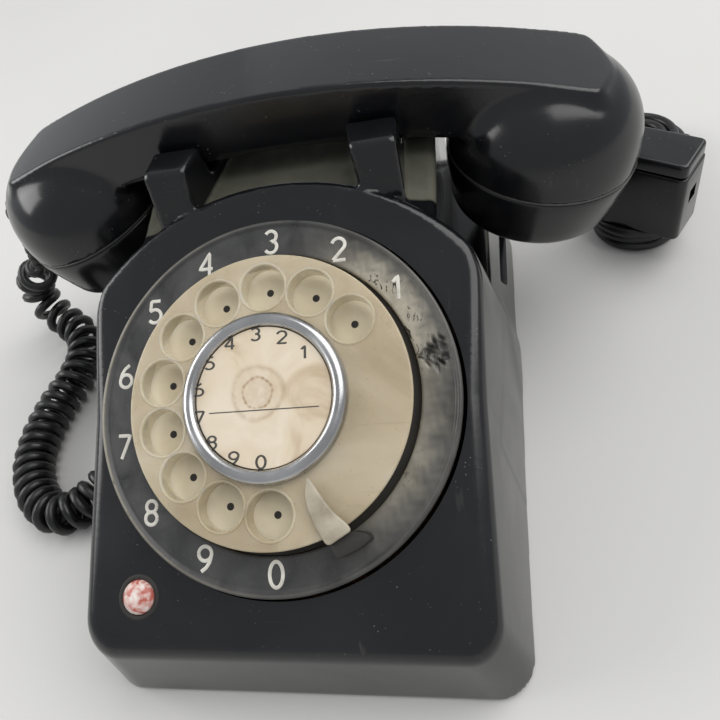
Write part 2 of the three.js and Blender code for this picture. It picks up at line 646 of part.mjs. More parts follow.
// ---------- cords ----------
const RELIEF = [
  [-118.3, 94.6, 80.7], [-121.3, 94.8, 76], [-124, 95.2, 66], [-128.5, 95.6, 55], [-132, 96, 45.5],
];
const CURLY_ROUTE = [
  [-83.3, 8, 12], [-88, 6.6, 11.2], [-96, -1.5, 9.2], [-106, -5.5, 8.9], [-117, 0.5, 8.9],
  [-126, 14, 8.9], [-129, 30, 8.9], [-127.5, 46, 8.9], [-123.5, 61, 8.9], [-123.5, 75, 8.9],
  [-129, 86, 9.2], [-138.5, 93.5, 11], [-146.5, 99, 16], [-149.5, 102.5, 23.5], [-147, 103, 31.5],
  [-141, 100.5, 37.2], [-136.3, 98, 40.4], [-133.6, 96.6, 42.6],
];
const LINE_ROUTE = [
  [30, 152.4, 12], [30.3, 160, 10.4], [32.5, 169, 5.8], [37.5, 177, 3], [46, 183, 2.4],
  [57, 186, 2.4], [69, 186.5, 2.4], [81, 185.4, 2.4], [93, 184.6, 2.4], [104, 185.2, 2.4],
  [113.6, 187.6, 2.4],
];
const PLUG_CENTER = [126, 119, HANK_HEIGHT + 0.4];
const PLUG_TURN = THREE.MathUtils.degToRad(-33);
const PLUG_SIZE = [34, 20, 35];
const PLUG_LEAD = [
  [133.8, 130.6, 31], [136.4, 134.6, 31], [139.4, 140.5, 28.8], [140.6, 147.5, 22], [140.5, 154, 16.2],
];

// Tapered sleeve along a line of points, each with its half thickness across and along.
function sleeve(points, halfWidths, sides = 10) {
  const curve = smoothCurve(points);
  const steps = 7;
  const frames = curve.computeFrenetFrames(steps, false);
  const rings = Array.from({ length: steps + 1 }, (_, i) => {
    const at = curve.getPointAt(i / steps);
    const radius = THREE.MathUtils.lerp(halfWidths[0], halfWidths[1], i / steps);
    return arcPoints(0, 0, radius, 0, 2 * Math.PI * (1 - 1 / sides), sides - 1).map(([a, b]) => (
      at.clone().addScaledVector(frames.normals[i], a).addScaledVector(frames.binormals[i], b)));
  });
  return loft(rings);
}

function gland(length, shoulder, through, tip) {
  return turned([
    [0, -6.4], [through + 2, -6.4], [through + 2, -4.6], [through, -4.6], [through, 1.6],
    [shoulder, 1.6], [shoulder, 3.4], [tip, length], [0, length],
  ], 14);
}

function hankOutline() {
  const reach = HANK_LENGTH / 2 - HANK_HALF_WIDTH;
  return [
    ...arcPoints(0, reach, HANK_HALF_WIDTH, 0, Math.PI, 10),
    ...arcPoints(0, -reach, HANK_HALF_WIDTH, Math.PI, 2 * Math.PI, 10),
  ];
}

function addPlug() {
  const plug = new THREE.Group();
  plug.position.set(...PLUG_CENTER);
  plug.rotation.z = PLUG_TURN;
  phone.add(plug);
  const [width, depth, height] = PLUG_SIZE;
  const rounded = roundedBox(width / 2, -depth / 2, depth / 2, 2.4, 4);
  const split = height - 6;
  const shell = loft([
    atHeight(rounded, 0), atHeight(rounded, split),
  ]);
  const notch = box(width / 2 - 1.4, width / 2 + 1, -3, 3, 14, 20);
  const port = disc(LINE_RADIUS + 1.2, 0, 12, 16).rotateX(-Math.PI / 2)
    .translate(0, depth / 2 - 8, PLUG_LEAD[0][2] - PLUG_CENTER[2]);
  place('plug_body', cut(shell, notch, port), BLACK, plug);
  const lid = roundedBox(width / 2 - 0.4, -depth / 2 + 0.4, depth / 2 - 0.4, 2.2, 4);
  place('plug_lid', loft([atHeight(lid, split + GAP), atHeight(lid, height)]), BLACK, plug);
  [8, 15, 22].forEach((z, i) => {
    const pin = disc(1.6, 0, 13, 14).rotateY(-Math.PI / 2).translate(-width / 2 - GAP, 0, z);
    place(`plug_pin_${i + 1}`, pin, BRASS, plug);
  });
}

function addCords() {
  place('handset_relief', sleeve(RELIEF, [4.2, 2.8]), RUBBER);
  place('curly_cord', tube(CURLY_ROUTE, CURL_RADIUS, 10, 24), CORD);
  place('handset_gland', gland(14, 5.2, 4.1, 3.6).rotateY(-Math.PI / 2).translate(...CURLY_EXIT), RUBBER);
  place('line_gland', gland(18, 4.4, 3.3, 2.7).rotateX(-Math.PI / 2).translate(...LINE_EXIT), RUBBER);
  place('line_cord', tube(LINE_ROUTE, LINE_RADIUS, 8, 24), CORD);
  const hank = place('line_hank', plate(hankOutline(), 0.1, HANK_HEIGHT), CORD);
  hank.position.set(HANK_CENTER.x, HANK_CENTER.y, 0);
  hank.rotation.z = HANK_TURN;
  place('plug_lead', tube(PLUG_LEAD, LINE_RADIUS, 8, 8), CORD);
  addPlug();
}

addBody();
addDial();
addRecallButton();
addHookSwitch();
addRinger();
addCircuit();
addHandset();
addCords();

export default phone;
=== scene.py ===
# Desk telephone with a rotary dial: the visual model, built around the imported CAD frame.
# Shapes are worked out in millimetres in the row frame, and become metres as meshes are made.
import json
import math

import bmesh
import bpy
import numpy as np
import openvdb
from mathutils import Matrix, Vector
from mathutils.geometry import tessellate_polygon


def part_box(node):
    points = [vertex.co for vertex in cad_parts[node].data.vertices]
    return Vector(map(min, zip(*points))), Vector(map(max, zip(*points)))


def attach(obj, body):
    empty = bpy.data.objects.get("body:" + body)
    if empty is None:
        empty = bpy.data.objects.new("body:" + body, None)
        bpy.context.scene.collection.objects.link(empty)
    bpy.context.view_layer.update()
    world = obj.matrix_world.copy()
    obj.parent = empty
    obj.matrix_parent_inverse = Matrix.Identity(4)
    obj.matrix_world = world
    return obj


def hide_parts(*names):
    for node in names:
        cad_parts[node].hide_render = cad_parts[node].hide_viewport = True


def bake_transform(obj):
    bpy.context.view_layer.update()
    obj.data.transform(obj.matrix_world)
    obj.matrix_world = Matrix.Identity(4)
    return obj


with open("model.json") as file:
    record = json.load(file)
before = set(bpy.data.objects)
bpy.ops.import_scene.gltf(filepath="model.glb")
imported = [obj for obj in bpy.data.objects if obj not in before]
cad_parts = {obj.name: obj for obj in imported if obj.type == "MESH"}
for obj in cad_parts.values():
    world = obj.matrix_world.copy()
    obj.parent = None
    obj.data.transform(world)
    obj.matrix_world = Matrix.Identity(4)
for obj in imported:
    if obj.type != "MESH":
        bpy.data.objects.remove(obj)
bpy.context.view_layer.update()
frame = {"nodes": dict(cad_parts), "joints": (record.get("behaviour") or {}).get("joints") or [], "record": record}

MM = 0.001
NODES = frame["nodes"]
JOINTS = {joint["name"]: joint for joint in frame["joints"]}

# ---------- places and driving dimensions, in millimetres ----------
DIAL = np.array(JOINTS["dial_turn"]["pos_m"]) / MM        # centre of the dial, on the number ring's plane
NORMAL = np.array(JOINTS["dial_turn"]["axis"])
ACROSS = np.array([1.0, 0.0, 0.0])
UP_FACE = np.cross(NORMAL, ACROSS)

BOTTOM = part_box("housing")[0].z / MM
FRONT_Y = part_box("housing")[0].y / MM
REAR_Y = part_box("housing")[1].y / MM
BASE_HALF_WIDTH = 68.2
BASE_FLARE = 0.0003
WALL = 2.6
FACE_DROP = 2.8
FACE_HALF_WIDTH = 60.3
FACE_FRONT = -70.3
FACE_ARC = 69.8
DIAL_OPENING = 55.9
SHELF_HALF_WIDTH = 63.4
SHELF_TOP = 44.0
NECK_HALF_WIDTH = 49.5
NECK_TOP = 90.0
CRADLE_Y = (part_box("ear_cap")[0].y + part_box("ear_cap")[1].y) / 2 / MM
CRADLE_REST = 94.6
PRONG_TOP = 106.0
PLUNGER_X = 31.0
PLUNGER_RADIUS = 2.8
VENT = (46.0, 81.0, 20.5, 12.0)           # front end, rear end, middle height and width
VENT_SLANT = 0.7
VENT_FALL = 0.06
CURLY_EXIT = np.array([-67.8, 8.0 + DIAL[1], 12.0])
LINE_EXIT = np.array([30.0, 134.0 + DIAL[1], 12.0])
SCREW_PLACES = (-56, 121)                # of the two base screws, along Y from the dial's centre

RING_INNER = 43.6
DIGIT_CIRCLE = 48.4
WHEEL_RADIUS = 42.0
WHEEL_TOP = 5.4
WHEEL_UNDER = 2.9
CARD_SEAT = 6.6
HOLE_CIRCLE = 32.5
HOLE_RADIUS = 6.7
FIRST_HOLE = math.radians(39.2)
HOLE_STEP = math.radians(25.9)
CARD_SHIFT = np.array([-1.5, 0.0])       # the card was put in a little off centre
BUTTON_PLACE = (-42.3, -54.7)
BUTTON_RADIUS = 4.9

CROWN_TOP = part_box("handset_shell")[1].z / MM
CROWN_RADIUS = 308.8
BAR_HALF_DEPTH = 16.2
BAR_THICKNESS = 20.2
CUP_X = 83.2
CUP_Z = 75.5
CUP_RADIUS = 31.4
CUP_HEIGHT = 30.3
CUP_TILT = math.radians(11.7)

LINE_DIAMETER = 4.4
CURL_WIRE = 4.2
CURL_RADIUS = 8.3


# ---------- frames of reference ----------
def on_dial(points):
    """Row-frame points from (across the face, up the face, out of it), measured from the dial's centre."""
    points = np.asarray(points, float)
    return DIAL + points @ np.array([ACROSS, UP_FACE, NORMAL])


def in_cup(points, side):
    """Row-frame points from a handset cup's own axes. side is -1 for the mouth end and 1 for the ear end."""
    x, y, z = np.asarray(points, float).T
    lean = side * CUP_TILT
    return np.stack([
        side * CUP_X + x * math.cos(lean) + z * math.sin(lean),
        CRADLE_Y + y,
        CUP_Z - x * math.sin(lean) + z * math.cos(lean),
    ], axis=1)


def turned_about_z(points, angle, centre):
    x, y, z = np.asarray(points, float).T
    c, s = math.cos(angle), math.sin(angle)
    return np.stack([x * c - y * s, x * s + y * c, z], axis=1) + np.asarray(centre, float)


# ---------- camera ----------
def add_camera():
    """The camera stands in front of the phone's right side and looks down at the dial."""
    data = bpy.data.cameras.new("camera")
    data.lens = 33.83
    data.sensor_width = 36
    data.clip_start = 0.01
    camera = bpy.data.objects.new("camera", data)
    right = Vector((0.9721, 0.0732, -0.2230)).normalized()
    ahead = Vector((-0.2218, 0.5972, -0.7708)).normalized()
    up = right.cross(ahead).normalized()
    camera.matrix_world = Matrix((
        (right.x, up.x, -ahead.x, 0.06907),
        (right.y, up.y, -ahead.y, -0.14113),
        (right.z, up.z, -ahead.z, 0.22048),
        (0, 0, 0, 1),
    ))
    bpy.context.scene.collection.objects.link(camera)
    bpy.context.scene.camera = camera


# ---------- mesh helpers ----------
def make(name, shape, material, body, replaces=(), sharp=38):
    """An object from (points in millimetres, faces) that rides on a CAD body."""
    points, faces = shape
    mesh = bpy.data.meshes.new(name)
    mesh.from_pydata((np.asarray(points) * MM).tolist(), [], [tuple(int(i) for i in f) for f in faces])
    mesh.update()
    obj = bpy.data.objects.new(name, mesh)
    bpy.context.scene.collection.objects.link(obj)
    tidy_normals(mesh)
    smooth(mesh, sharp)
    mesh.materials.append(material)
    if body:
        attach(obj, body)
    if replaces:
        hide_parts(*replaces)
    return obj


def tidy_normals(mesh):
    work = bmesh.new()
    work.from_mesh(mesh)
    bmesh.ops.recalc_face_normals(work, faces=work.faces)
    work.to_mesh(mesh)
    work.free()


def smooth(mesh, sharp):
    mesh.shade_smooth()
    mesh.set_sharp_from_angle(angle=math.radians(sharp))


def merged(*shapes):
    """One shape from several."""
    points, faces, start = [], [], 0
    for shape_points, shape_faces in shapes:
        points.append(np.asarray(shape_points, float))
        faces += [tuple(int(i) + start for i in face) for face in shape_faces]
        start += len(shape_points)
    return np.concatenate(points), faces


def moved(shape, place):
    """The shape with its points put through a function."""
    points, faces = shape
    return place(np.asarray(points, float)), faces


def at_dial(shape, u=0.0, v=0.0, n=0.0):
    """The shape set on the dial, this far across, up and out from its centre."""
    return moved(shape, lambda p: on_dial(p + [u, v, n]))

def cut(obj, *tools, sharp=40):
    """Takes the tools' volumes out of obj, and removes the tools."""
    for tool in tools:
        tool.matrix_world = Matrix.Identity(4)
        step = obj.modifiers.new("cut", "BOOLEAN")
        step.operation = "DIFFERENCE"
        step.solver = "MANIFOLD"
        step.object = tool
    bpy.context.view_layer.update()
    result = bpy.data.meshes.new_from_object(obj.evaluated_get(bpy.context.evaluated_depsgraph_get()))
    obj.modifiers.clear()
    obj.data = result
    smooth(result, sharp)
    for tool in tools:
        bpy.data.objects.remove(tool)
    return obj


def tool(shape):
    """A cutting tool for cut()."""
    return make("tool", shape, None, None)


# ---------- outlines and surfaces ----------
def arc(cx, cy, radius, start, end, steps):
    """Points on an arc, with angles in degrees."""
    angles = np.radians(np.linspace(start, end, steps + 1))
    return np.stack([cx + radius * np.cos(angles), cy + radius * np.sin(angles)], axis=1)


def circle(cx, cy, radius, steps=48):
    return arc(cx, cy, radius, 0, 360, steps)[:-1]


def rounded(points, radius, closed=True, steps=4):
    """An outline whose corners are turned into short curves of about this radius."""
    points = np.asarray(points, float)
    count = len(points)
    result = []
    for i, corner in enumerate(points):
        if not closed and i in (0, count - 1):
            result.append(corner)
            continue
        before = points[i - 1] - corner
        after = points[(i + 1) % count] - corner
        reach = min(radius, 0.45 * np.linalg.norm(before), 0.45 * np.linalg.norm(after))
        start = corner + before / np.linalg.norm(before) * reach
        end = corner + after / np.linalg.norm(after) * reach
        for t in np.linspace(0, 1, steps + 1):
            result.append((1 - t) ** 2 * start + 2 * t * (1 - t) * corner + t ** 2 * end)
    return np.array(result)


def quads(first, second, count):
    """Faces between two closed rings of points, from the number of each ring's first point."""
    turns = [(j, (j + 1) % count) for j in range(count)]
    return [(first + j, first + k, second + k, second + j) for j, k in turns]

def lathe(profile, segments=96):
    """A body of revolution about Z from (radius, height) pairs, closed on the axis or on itself."""
    profile = np.asarray(profile, float)
    poles = profile[0][0] < 1e-6 and profile[-1][0] < 1e-6
    rings = profile[1:-1] if poles else profile
    angles = np.linspace(0, 2 * math.pi, segments, endpoint=False)
    points = np.concatenate([
        np.stack([r * np.cos(angles), r * np.sin(angles), np.full(segments, z)], axis=1) for r, z in rings
    ])
    count = len(rings)
    faces = []
    for i in range(count - 1 if poles else count):
        faces += quads(i * segments, (i + 1) % count * segments, segments)
    if poles:
        ends = np.array([[0, 0, profile[0][1]], [0, 0, profile[-1][1]]])
        points = np.concatenate([points, ends])
        first, last = len(points) - 2, len(points) - 1
        top = (count - 1) * segments
        for j in range(segments):
            k = (j + 1) % segments
            faces.append((first, k, j))
            faces.append((last, top + j, top + k))
    return points, faces


def inset(loop, distance):
    """A closed outline moved to its left by a distance."""
    loop = np.asarray(loop, float)
    along = np.roll(loop, -1, axis=0) - np.roll(loop, 1, axis=0)
    along /= np.linalg.norm(along, axis=1)[:, None]
    return loop + distance * np.stack([-along[:, 1], along[:, 0]], axis=1)


def wound(loop, direction):
    """The outline, anticlockwise for direction 1 and clockwise for -1."""
    x, y = np.asarray(loop, float).T
    area = np.sum(x * np.roll(y, -1) - y * np.roll(x, -1))
    return loop if area * direction > 0 else loop[::-1]


def plate(outer, holes, low, high, bevel, steps=3):
    """A flat plate with rounded edges and holes."""
    loops = [wound(outer, 1)] + [wound(hole, -1) for hole in holes]
    turn = np.linspace(0, math.pi / 2, steps + 1)
    levels = [(low + bevel * (1 - math.sin(a)), bevel * (1 - math.cos(a))) for a in turn[::-1]]
    levels += [(high - bevel * (1 - math.sin(a)), bevel * (1 - math.cos(a))) for a in turn]
    points, faces, start, ends = [], [], 0, ([], [])
    for loop in loops:
        count = len(loop)
        for z, distance in levels:
            ring = inset(loop, distance)
            points.append(np.column_stack([ring, np.full(count, z)]))
        for i in range(len(levels) - 1):
            faces += quads(start + i * count, start + (i + 1) * count, count)
        ends[0].append((start, count))
        ends[1].append((start + (len(levels) - 1) * count, count))
        start += len(levels) * count
    points = np.concatenate(points)
    for end in ends:
        order = [i for first, count in end for i in range(first, first + count)]
        outlines = [[Vector(points[i]) for i in range(first, first + count)] for first, count in end]
        faces += [tuple(order[i] for i in triangle) for triangle in tessellate_polygon(outlines)]
    return points, faces


def sweep(path, radius, sides=10):
    """A tube with round section along a path. radius is one number, or one for each point."""
    path = np.asarray(path, float)
    radius = np.broadcast_to(radius, len(path))
    along = np.gradient(path, axis=0)
    along /= np.linalg.norm(along, axis=1)[:, None]
    side = np.cross(along[0], [0.0, 0.0, 1.0] if abs(along[0][2]) < 0.9 else [1.0, 0.0, 0.0])
    angles = np.linspace(0, 2 * math.pi, sides, endpoint=False)
    points, faces = [], []
    for at, ahead, r in zip(path, along, radius):
        side = side - ahead * (side @ ahead)
        side /= np.linalg.norm(side)
        other = np.cross(ahead, side)
        points.append(at + r * (np.outer(np.cos(angles), side) + np.outer(np.sin(angles), other)))
    points = np.concatenate(points + [path[:1], path[-1:]])
    count = len(path)
    for i in range(count - 1):
        faces += quads(i * sides, (i + 1) * sides, sides)
    for j in range(sides):
        k = (j + 1) % sides
        faces.append((count * sides, k, j))
        faces.append((count * sides + 1, (count - 1) * sides + j, (count - 1) * sides + k))
    return points, faces


def smooth_route(points, spacing):
    """Evenly spaced points on a centripetal Catmull-Rom curve, as the CAD's cords follow."""
    points = np.asarray(points, float)
    padded = np.concatenate([[2 * points[0] - points[1]], points, [2 * points[-1] - points[-2]]])
    dense = []
    for p0, p1, p2, p3 in zip(padded, padded[1:], padded[2:], padded[3:]):
        t1 = np.linalg.norm(p1 - p0) ** 0.5
        t2 = t1 + np.linalg.norm(p2 - p1) ** 0.5
        t3 = t2 + np.linalg.norm(p3 - p2) ** 0.5
        for t in np.linspace(t1, t2, 24, endpoint=False):
            a1 = p0 + (p1 - p0) * t / t1
            a2 = p1 + (p2 - p1) * (t - t1) / (t2 - t1)
            a3 = p2 + (p3 - p2) * (t - t2) / (t3 - t2)
            b1 = a1 + (a2 - a1) * t / t2
            b2 = a2 + (a3 - a2) * (t - t1) / (t3 - t1)
            dense.append(b1 + (b2 - b1) * (t - t1) / (t2 - t1))
    dense = np.array(dense + [points[-1]])
    return evenly(dense, spacing)


def evenly(path, spacing):
    """The path sampled again at about this spacing."""
    walked = np.concatenate([[0], np.cumsum(np.linalg.norm(np.diff(path, axis=0), axis=1))])
    wanted = np.linspace(0, walked[-1], max(2, round(walked[-1] / spacing)))
    return np.stack([np.interp(wanted, walked, path[:, i]) for i in range(3)], axis=1)


# ---------- moulded solids, from fields that are below zero inside ----------
def both(a, b, radius):
    """Where both fields are inside, with a rounded edge."""
    corner = np.hypot(np.maximum(a + radius, 0), np.maximum(b + radius, 0))
    return np.minimum(np.maximum(a, b), -radius) + corner


def either(a, b, radius):
    """Where either field is inside, with a fillet."""
    return -both(-a, -b, radius)


def blended(a, b, reach):
    """Where either field is inside, melted together where they are within reach of each other."""
    share = np.maximum(reach - np.abs(a - b), 0) / reach
    return np.minimum(a, b) - share ** 2 * reach / 4


def lerp(a, b, t):
    return a + (b - a) * t


def moulded(field, low, high, voxel):
    """The surface of a field inside a box, with its points settled onto the exact surface."""
    axes = [np.arange(a, b + voxel, voxel) for a, b in zip(low, high)]
    values = field(*np.meshgrid(*axes, indexing="ij", sparse=True)).astype(np.float32)
    grid = openvdb.FloatGrid(3 * voxel)
    grid.copyFromArray(values)
    points, faces = grid.convertToQuads(0)
    points = points.astype(float) * voxel + np.array(low)
    for _ in range(3):
        points = settled(points, field, voxel)
    return points, faces


def settled(points, field, voxel):
    step = 0.04
    value = field(*points.T)
    slope = np.stack([
        (field(*(points + d).T) - field(*(points - d).T)) / (2 * step) for d in np.eye(3) * step
    ], axis=1)
    move = -(value / np.maximum((slope ** 2).sum(axis=1), 0.05))[:, None] * slope
    size = np.linalg.norm(move, axis=1)[:, None]
    return points + move * np.minimum(1, 0.6 * voxel / np.maximum(size, 1e-9))


# ---------- the body's housing ----------
def body_field(x, y, z, wall=0.0):
    """The body without its cradles. wall moves every surface inwards."""
    y = y - DIAL[1]
    side = np.abs(x)
    base_half = BASE_HALF_WIDTH * (1 + (y - FRONT_Y + DIAL[1]) * BASE_FLARE)
    face = y * NORMAL[1] + (z - DIAL[2]) * NORMAL[2] + FACE_DROP + wall
    face_height = DIAL[2] - (FACE_DROP + y * NORMAL[1]) / NORMAL[2]
    rise = np.clip((z - BOTTOM) / (face_height - BOTTOM), -0.2, 1.05)

    face_half = FACE_HALF_WIDTH + 1.4 * np.clip(y / 30, 0, 1)
    walls = side - lerp(base_half, face_half, rise) + wall
    front = lerp(FRONT_Y - DIAL[1], FACE_FRONT * UP_FACE[1] - FACE_DROP * NORMAL[1], rise) - y + wall
    along = (y + FACE_DROP * NORMAL[1] * rise) / lerp(1, UP_FACE[1], rise)
    arch = FACE_ARC + 3.2 * (side / 62) ** 2
    crown = np.hypot(side, np.maximum(along, 0)) - lerp(98, arch, rise) + wall
    block = both(both(walls, front, lerp(12, 10, rise)), crown, 4)
    block = both(block, face, 4 - 1.2 * np.clip(y / 25, 0, 1))

    rear = REAR_Y - DIAL[1]
    climb = (z - BOTTOM) / 39.5
    shelf_walls = side - lerp(base_half, SHELF_HALF_WIDTH, climb) + wall + 3 * np.clip(1 - y / 50, 0, 1)
    shelf = both(shelf_walls, y - lerp(rear, rear - 4, climb) + wall, 16)
    shelf = np.maximum(both(shelf, z - SHELF_TOP + wall, 3), -y)

    neck_rear = y - lerp(rear - 4.5, rear - 6, (z - SHELF_TOP + 12) / (NECK_TOP - SHELF_TOP)) + wall
    neck_top = NECK_TOP - 4 * np.clip((side - 28) / 18, 0, 1) * np.clip((85 - y) / 25, 0, 1)
    neck = both(both(side - NECK_HALF_WIDTH + wall, neck_rear, 9), z - neck_top + wall, 2.5)
    neck = np.maximum(np.maximum(neck, -np.maximum(crown + 1.5, -face - 2.6)), 20 - y)
    return either(blended(block, shelf, 5), neck, 0.5)


def cradle_field(x, y, z):
    """The two forks that hold the handset, joined by the rest between their prongs."""
    side, along = np.abs(x), np.abs(y - CRADLE_Y)
    outer = both(along - lerp(35, 30.4, (z - NECK_TOP) / 15), z - PRONG_TOP, 1.6)
    notch = both(along - lerp(16.8, 17.6, (z - CRADLE_REST) / 10.4), CRADLE_REST - z, 1.5)
    widths = np.maximum(side - 39.3 - 1.6 * along / 35, 21 + 6.4 * along / 35 - side)
    fork = both(both(outer, -notch, 1.3), widths, 1.3)
    return np.maximum(fork, NECK_TOP - 8 - z)


def housing_field(x, y, z):
    return both(either(body_field(x, y, z), cradle_field(x, y, z), 1.1), BOTTOM - z, 0.7)


def pillar(x, y, radius, low, high, steps=40):
    """An upright cylinder. x and y are in the row frame."""
    points, faces = lathe([(0, low), (radius, low), (radius, high), (0, high)], steps)
    return points + np.array([x, y, 0]), faces


def prism(outline, low, high):
    """An outline, pushed from one height to another."""
    outline = wound(np.asarray(outline, float), 1)
    count = len(outline)
    points = np.concatenate([np.column_stack([outline, np.full(count, z)]) for z in (low, high)])
    return points, quads(0, count, count) + [tuple(range(count))[::-1], tuple(range(count, 2 * count))]


def dust_and_painted_light_of(points):
    """The top of the neck, under the handle, painted lighter: partly dust, partly painted light for the overhead
    light it reflects.
    """
    x, y, z = points.T
    level = np.clip((z - NECK_TOP + 8) / 3, 0, 1) * np.clip((NECK_TOP + 1.2 - z) / 0.8, 0, 1)
    return level * (np.abs(x) < NECK_HALF_WIDTH + 1) * (y > DIAL[1] + 58)


def add_housing(material):
    low = np.array([-72.5, FRONT_Y - 1.5, BOTTOM - 1.5])
    high = np.array([72.5, REAR_Y + 1.5, PRONG_TOP + 1.5])
    housing = make("body_housing", moulded(housing_field, low, high, 1.15), material, "root",
                   ["housing"], sharp=60)
    inside = lambda x, y, z: np.maximum(body_field(x, y, z, WALL), BOTTOM - 3 - z)
    cavity = tool(moulded(inside, low - [0, 0, 3], high, 2.3))
    posts = [pillar(0, DIAL[1] + y, 4, 4.6, 110) for y in SCREW_PLACES]
    cut(cavity, *[tool(post) for post in posts])

    u, v = BUTTON_PLACE
    opening = at_dial(lathe([(0, -14), (DIAL_OPENING, -14), (DIAL_OPENING, 6), (0, 6)], 128))
    button = lathe([(0, -14), (BUTTON_RADIUS + 0.7, -14), (BUTTON_RADIUS + 0.7, 4), (0, 4)], 48)
    button = at_dial(button, u, v)
    curly = moved(lathe([(0, -8), (4.4, -8), (4.4, 8), (0, 8)], 32),
                  lambda p: np.stack([p[:, 2], p[:, 1], -p[:, 0]], axis=1) + CURLY_EXIT)
    line = moved(lathe([(0, -8), (3.6, -8), (3.6, 8), (0, 8)], 32),
                 lambda p: np.stack([p[:, 0], p[:, 2], -p[:, 1]], axis=1) + LINE_EXIT)
    start, end, middle, width = VENT
    slot = [(start, -width / 2), (end, -width / 2), (end, width / 2), (start, width / 2)]
    vents = moved(prism(rounded(slot, 3, steps=8), -90, 90), lambda p: np.stack([
        p[:, 2], p[:, 0] - VENT_SLANT * p[:, 1], p[:, 1] + middle - VENT_FALL * (p[:, 0] - start)], axis=1))
    plungers = [pillar(side * PLUNGER_X, CRADLE_Y, PLUNGER_RADIUS + 0.3, 80, 110) for side in (-1, 1)]
    screws = [pillar(0, DIAL[1] + y, 1.5, -2, 16) for y in SCREW_PLACES]
    tools = [tool(shape) for shape in (opening, button, curly, line, vents, *plungers, *screws)]
    cut(housing, cavity, *tools, sharp=50)
    # Paints the neck's top lighter: dust and painted light.
    paint(housing, "dust_and_painted_light", dust_and_painted_light_of(points_of(housing)))
    return housing


def points_of(obj):
    points = np.empty(3 * len(obj.data.vertices), np.float32)
    obj.data.vertices.foreach_get("co", points)
    return points.reshape(-1, 3) / MM


# ---------- handset ----------
def cup_axes(x, y, z, side):
    """Distances across, along Y and up a handset cup, from the centre of its seam."""
    lean = side * CUP_TILT
    dx, dz = x - side * CUP_X, z - CUP_Z
    return dx * math.cos(lean) - dz * math.sin(lean), y - CRADLE_Y, dx * math.sin(lean) + dz * math.cos(lean)


def dome(r, z, radius, height, power=2.4):
    """A rounded cap of this radius and height, flat at z = 0."""
    size = (np.abs(r / radius) ** power + np.abs(z / height) ** power) ** (1 / power)
    return (size - 1) * min(radius, height)


def handset_field(x, y, z):
    centre = CROWN_TOP - CROWN_RADIUS
    from_centre = np.hypot(x, z - centre)
    top = from_centre - CROWN_RADIUS
    sides = np.abs(y - CRADLE_Y) - BAR_HALF_DEPTH
    under = CROWN_RADIUS - BAR_THICKNESS - from_centre
    end = np.abs(x) - 102.2 + 0.0105 * (y - CRADLE_Y) ** 2 + 0.2 * (z - 100)
    shell = both(both(sides, under, 3), end, 2.5)
    for side in (-1, 1):
        across, along, up = cup_axes(x, y, z, side)
        across_out = np.hypot(across, along)
        cup = both(dome(across_out, up, CUP_RADIUS, CUP_HEIGHT), -up, 0.35)
        shell = either(shell, cup, 3.4)
        hollow = np.maximum(dome(across_out, up, 28, 18), -2 - up)
        shell = np.maximum(shell, -hollow)
    return both(shell, top, 0.8)


def cap_profile():
    """The screwed-on cap's section, from the middle of its outside to the middle of its inside."""
    return [
        (0, -19.6), (8, -19.7), (16, -20.1), (21, -20.7), (24.4, -21), (25.6, -20.9), (26.7, -20.4),
        (27.6, -19.4), (28.25, -18.0), (29.2, -14.2), (30.3, -9), (31.1, -4.5), (31.35, -2.2), (31.4, -1.2),
        (31.25, -0.75), (30.9, -0.5), (30.3, -0.35), (28.4, -0.35), (28.1, -3), (27.4, -9), (26.2, -14.5),
        (24.2, -17.6), (20, -18.2), (8, -17.6), (0, -17.5),
    ]


def add_handset(material, seam_material):
    low = np.array([-118, CRADLE_Y - 33.5, CUP_Z - 9])
    high = np.array([118, CRADLE_Y + 33.5, CROWN_TOP + 1.5])
    make("handset_body", moulded(handset_field, low, high, 0.95), material, "handset",
         ["handset_shell"], sharp=75)
    for side, name, place in ((-1, "mouthpiece", "mouth_cap"), (1, "earpiece", "ear_cap")):
        cap = make(name + "_cap", moved(lathe(cap_profile(), 128), lambda p: in_cup(p, side)), material,
                   "handset", [place], sharp=50)
        spots = [(0, 0), *arc(0, 0, 9, 0, 300, 5), *arc(0, 0, 16, 15, 345, 11)]
        hole = lathe([(0, -24), (1.9, -24), (1.9, -15), (0, -15)], 20)
        holes = [moved(hole, lambda p: in_cup(p + [u, v, 0], side))
                 for u, v in (spots if side < 0 else spots[:7])]
        cut(cap, *[tool(hole) for hole in holes])
        lip = lathe([(30.2, -0.55), (31.15, -0.5), (31.5, -0.25), (31.55, 0), (31.5, 0.25), (31.1, 0.45),
                     (30.2, 0.45)], 128)
        make(name + "_seam", moved(lip, lambda p: in_cup(p, side)), seam_material, "handset")


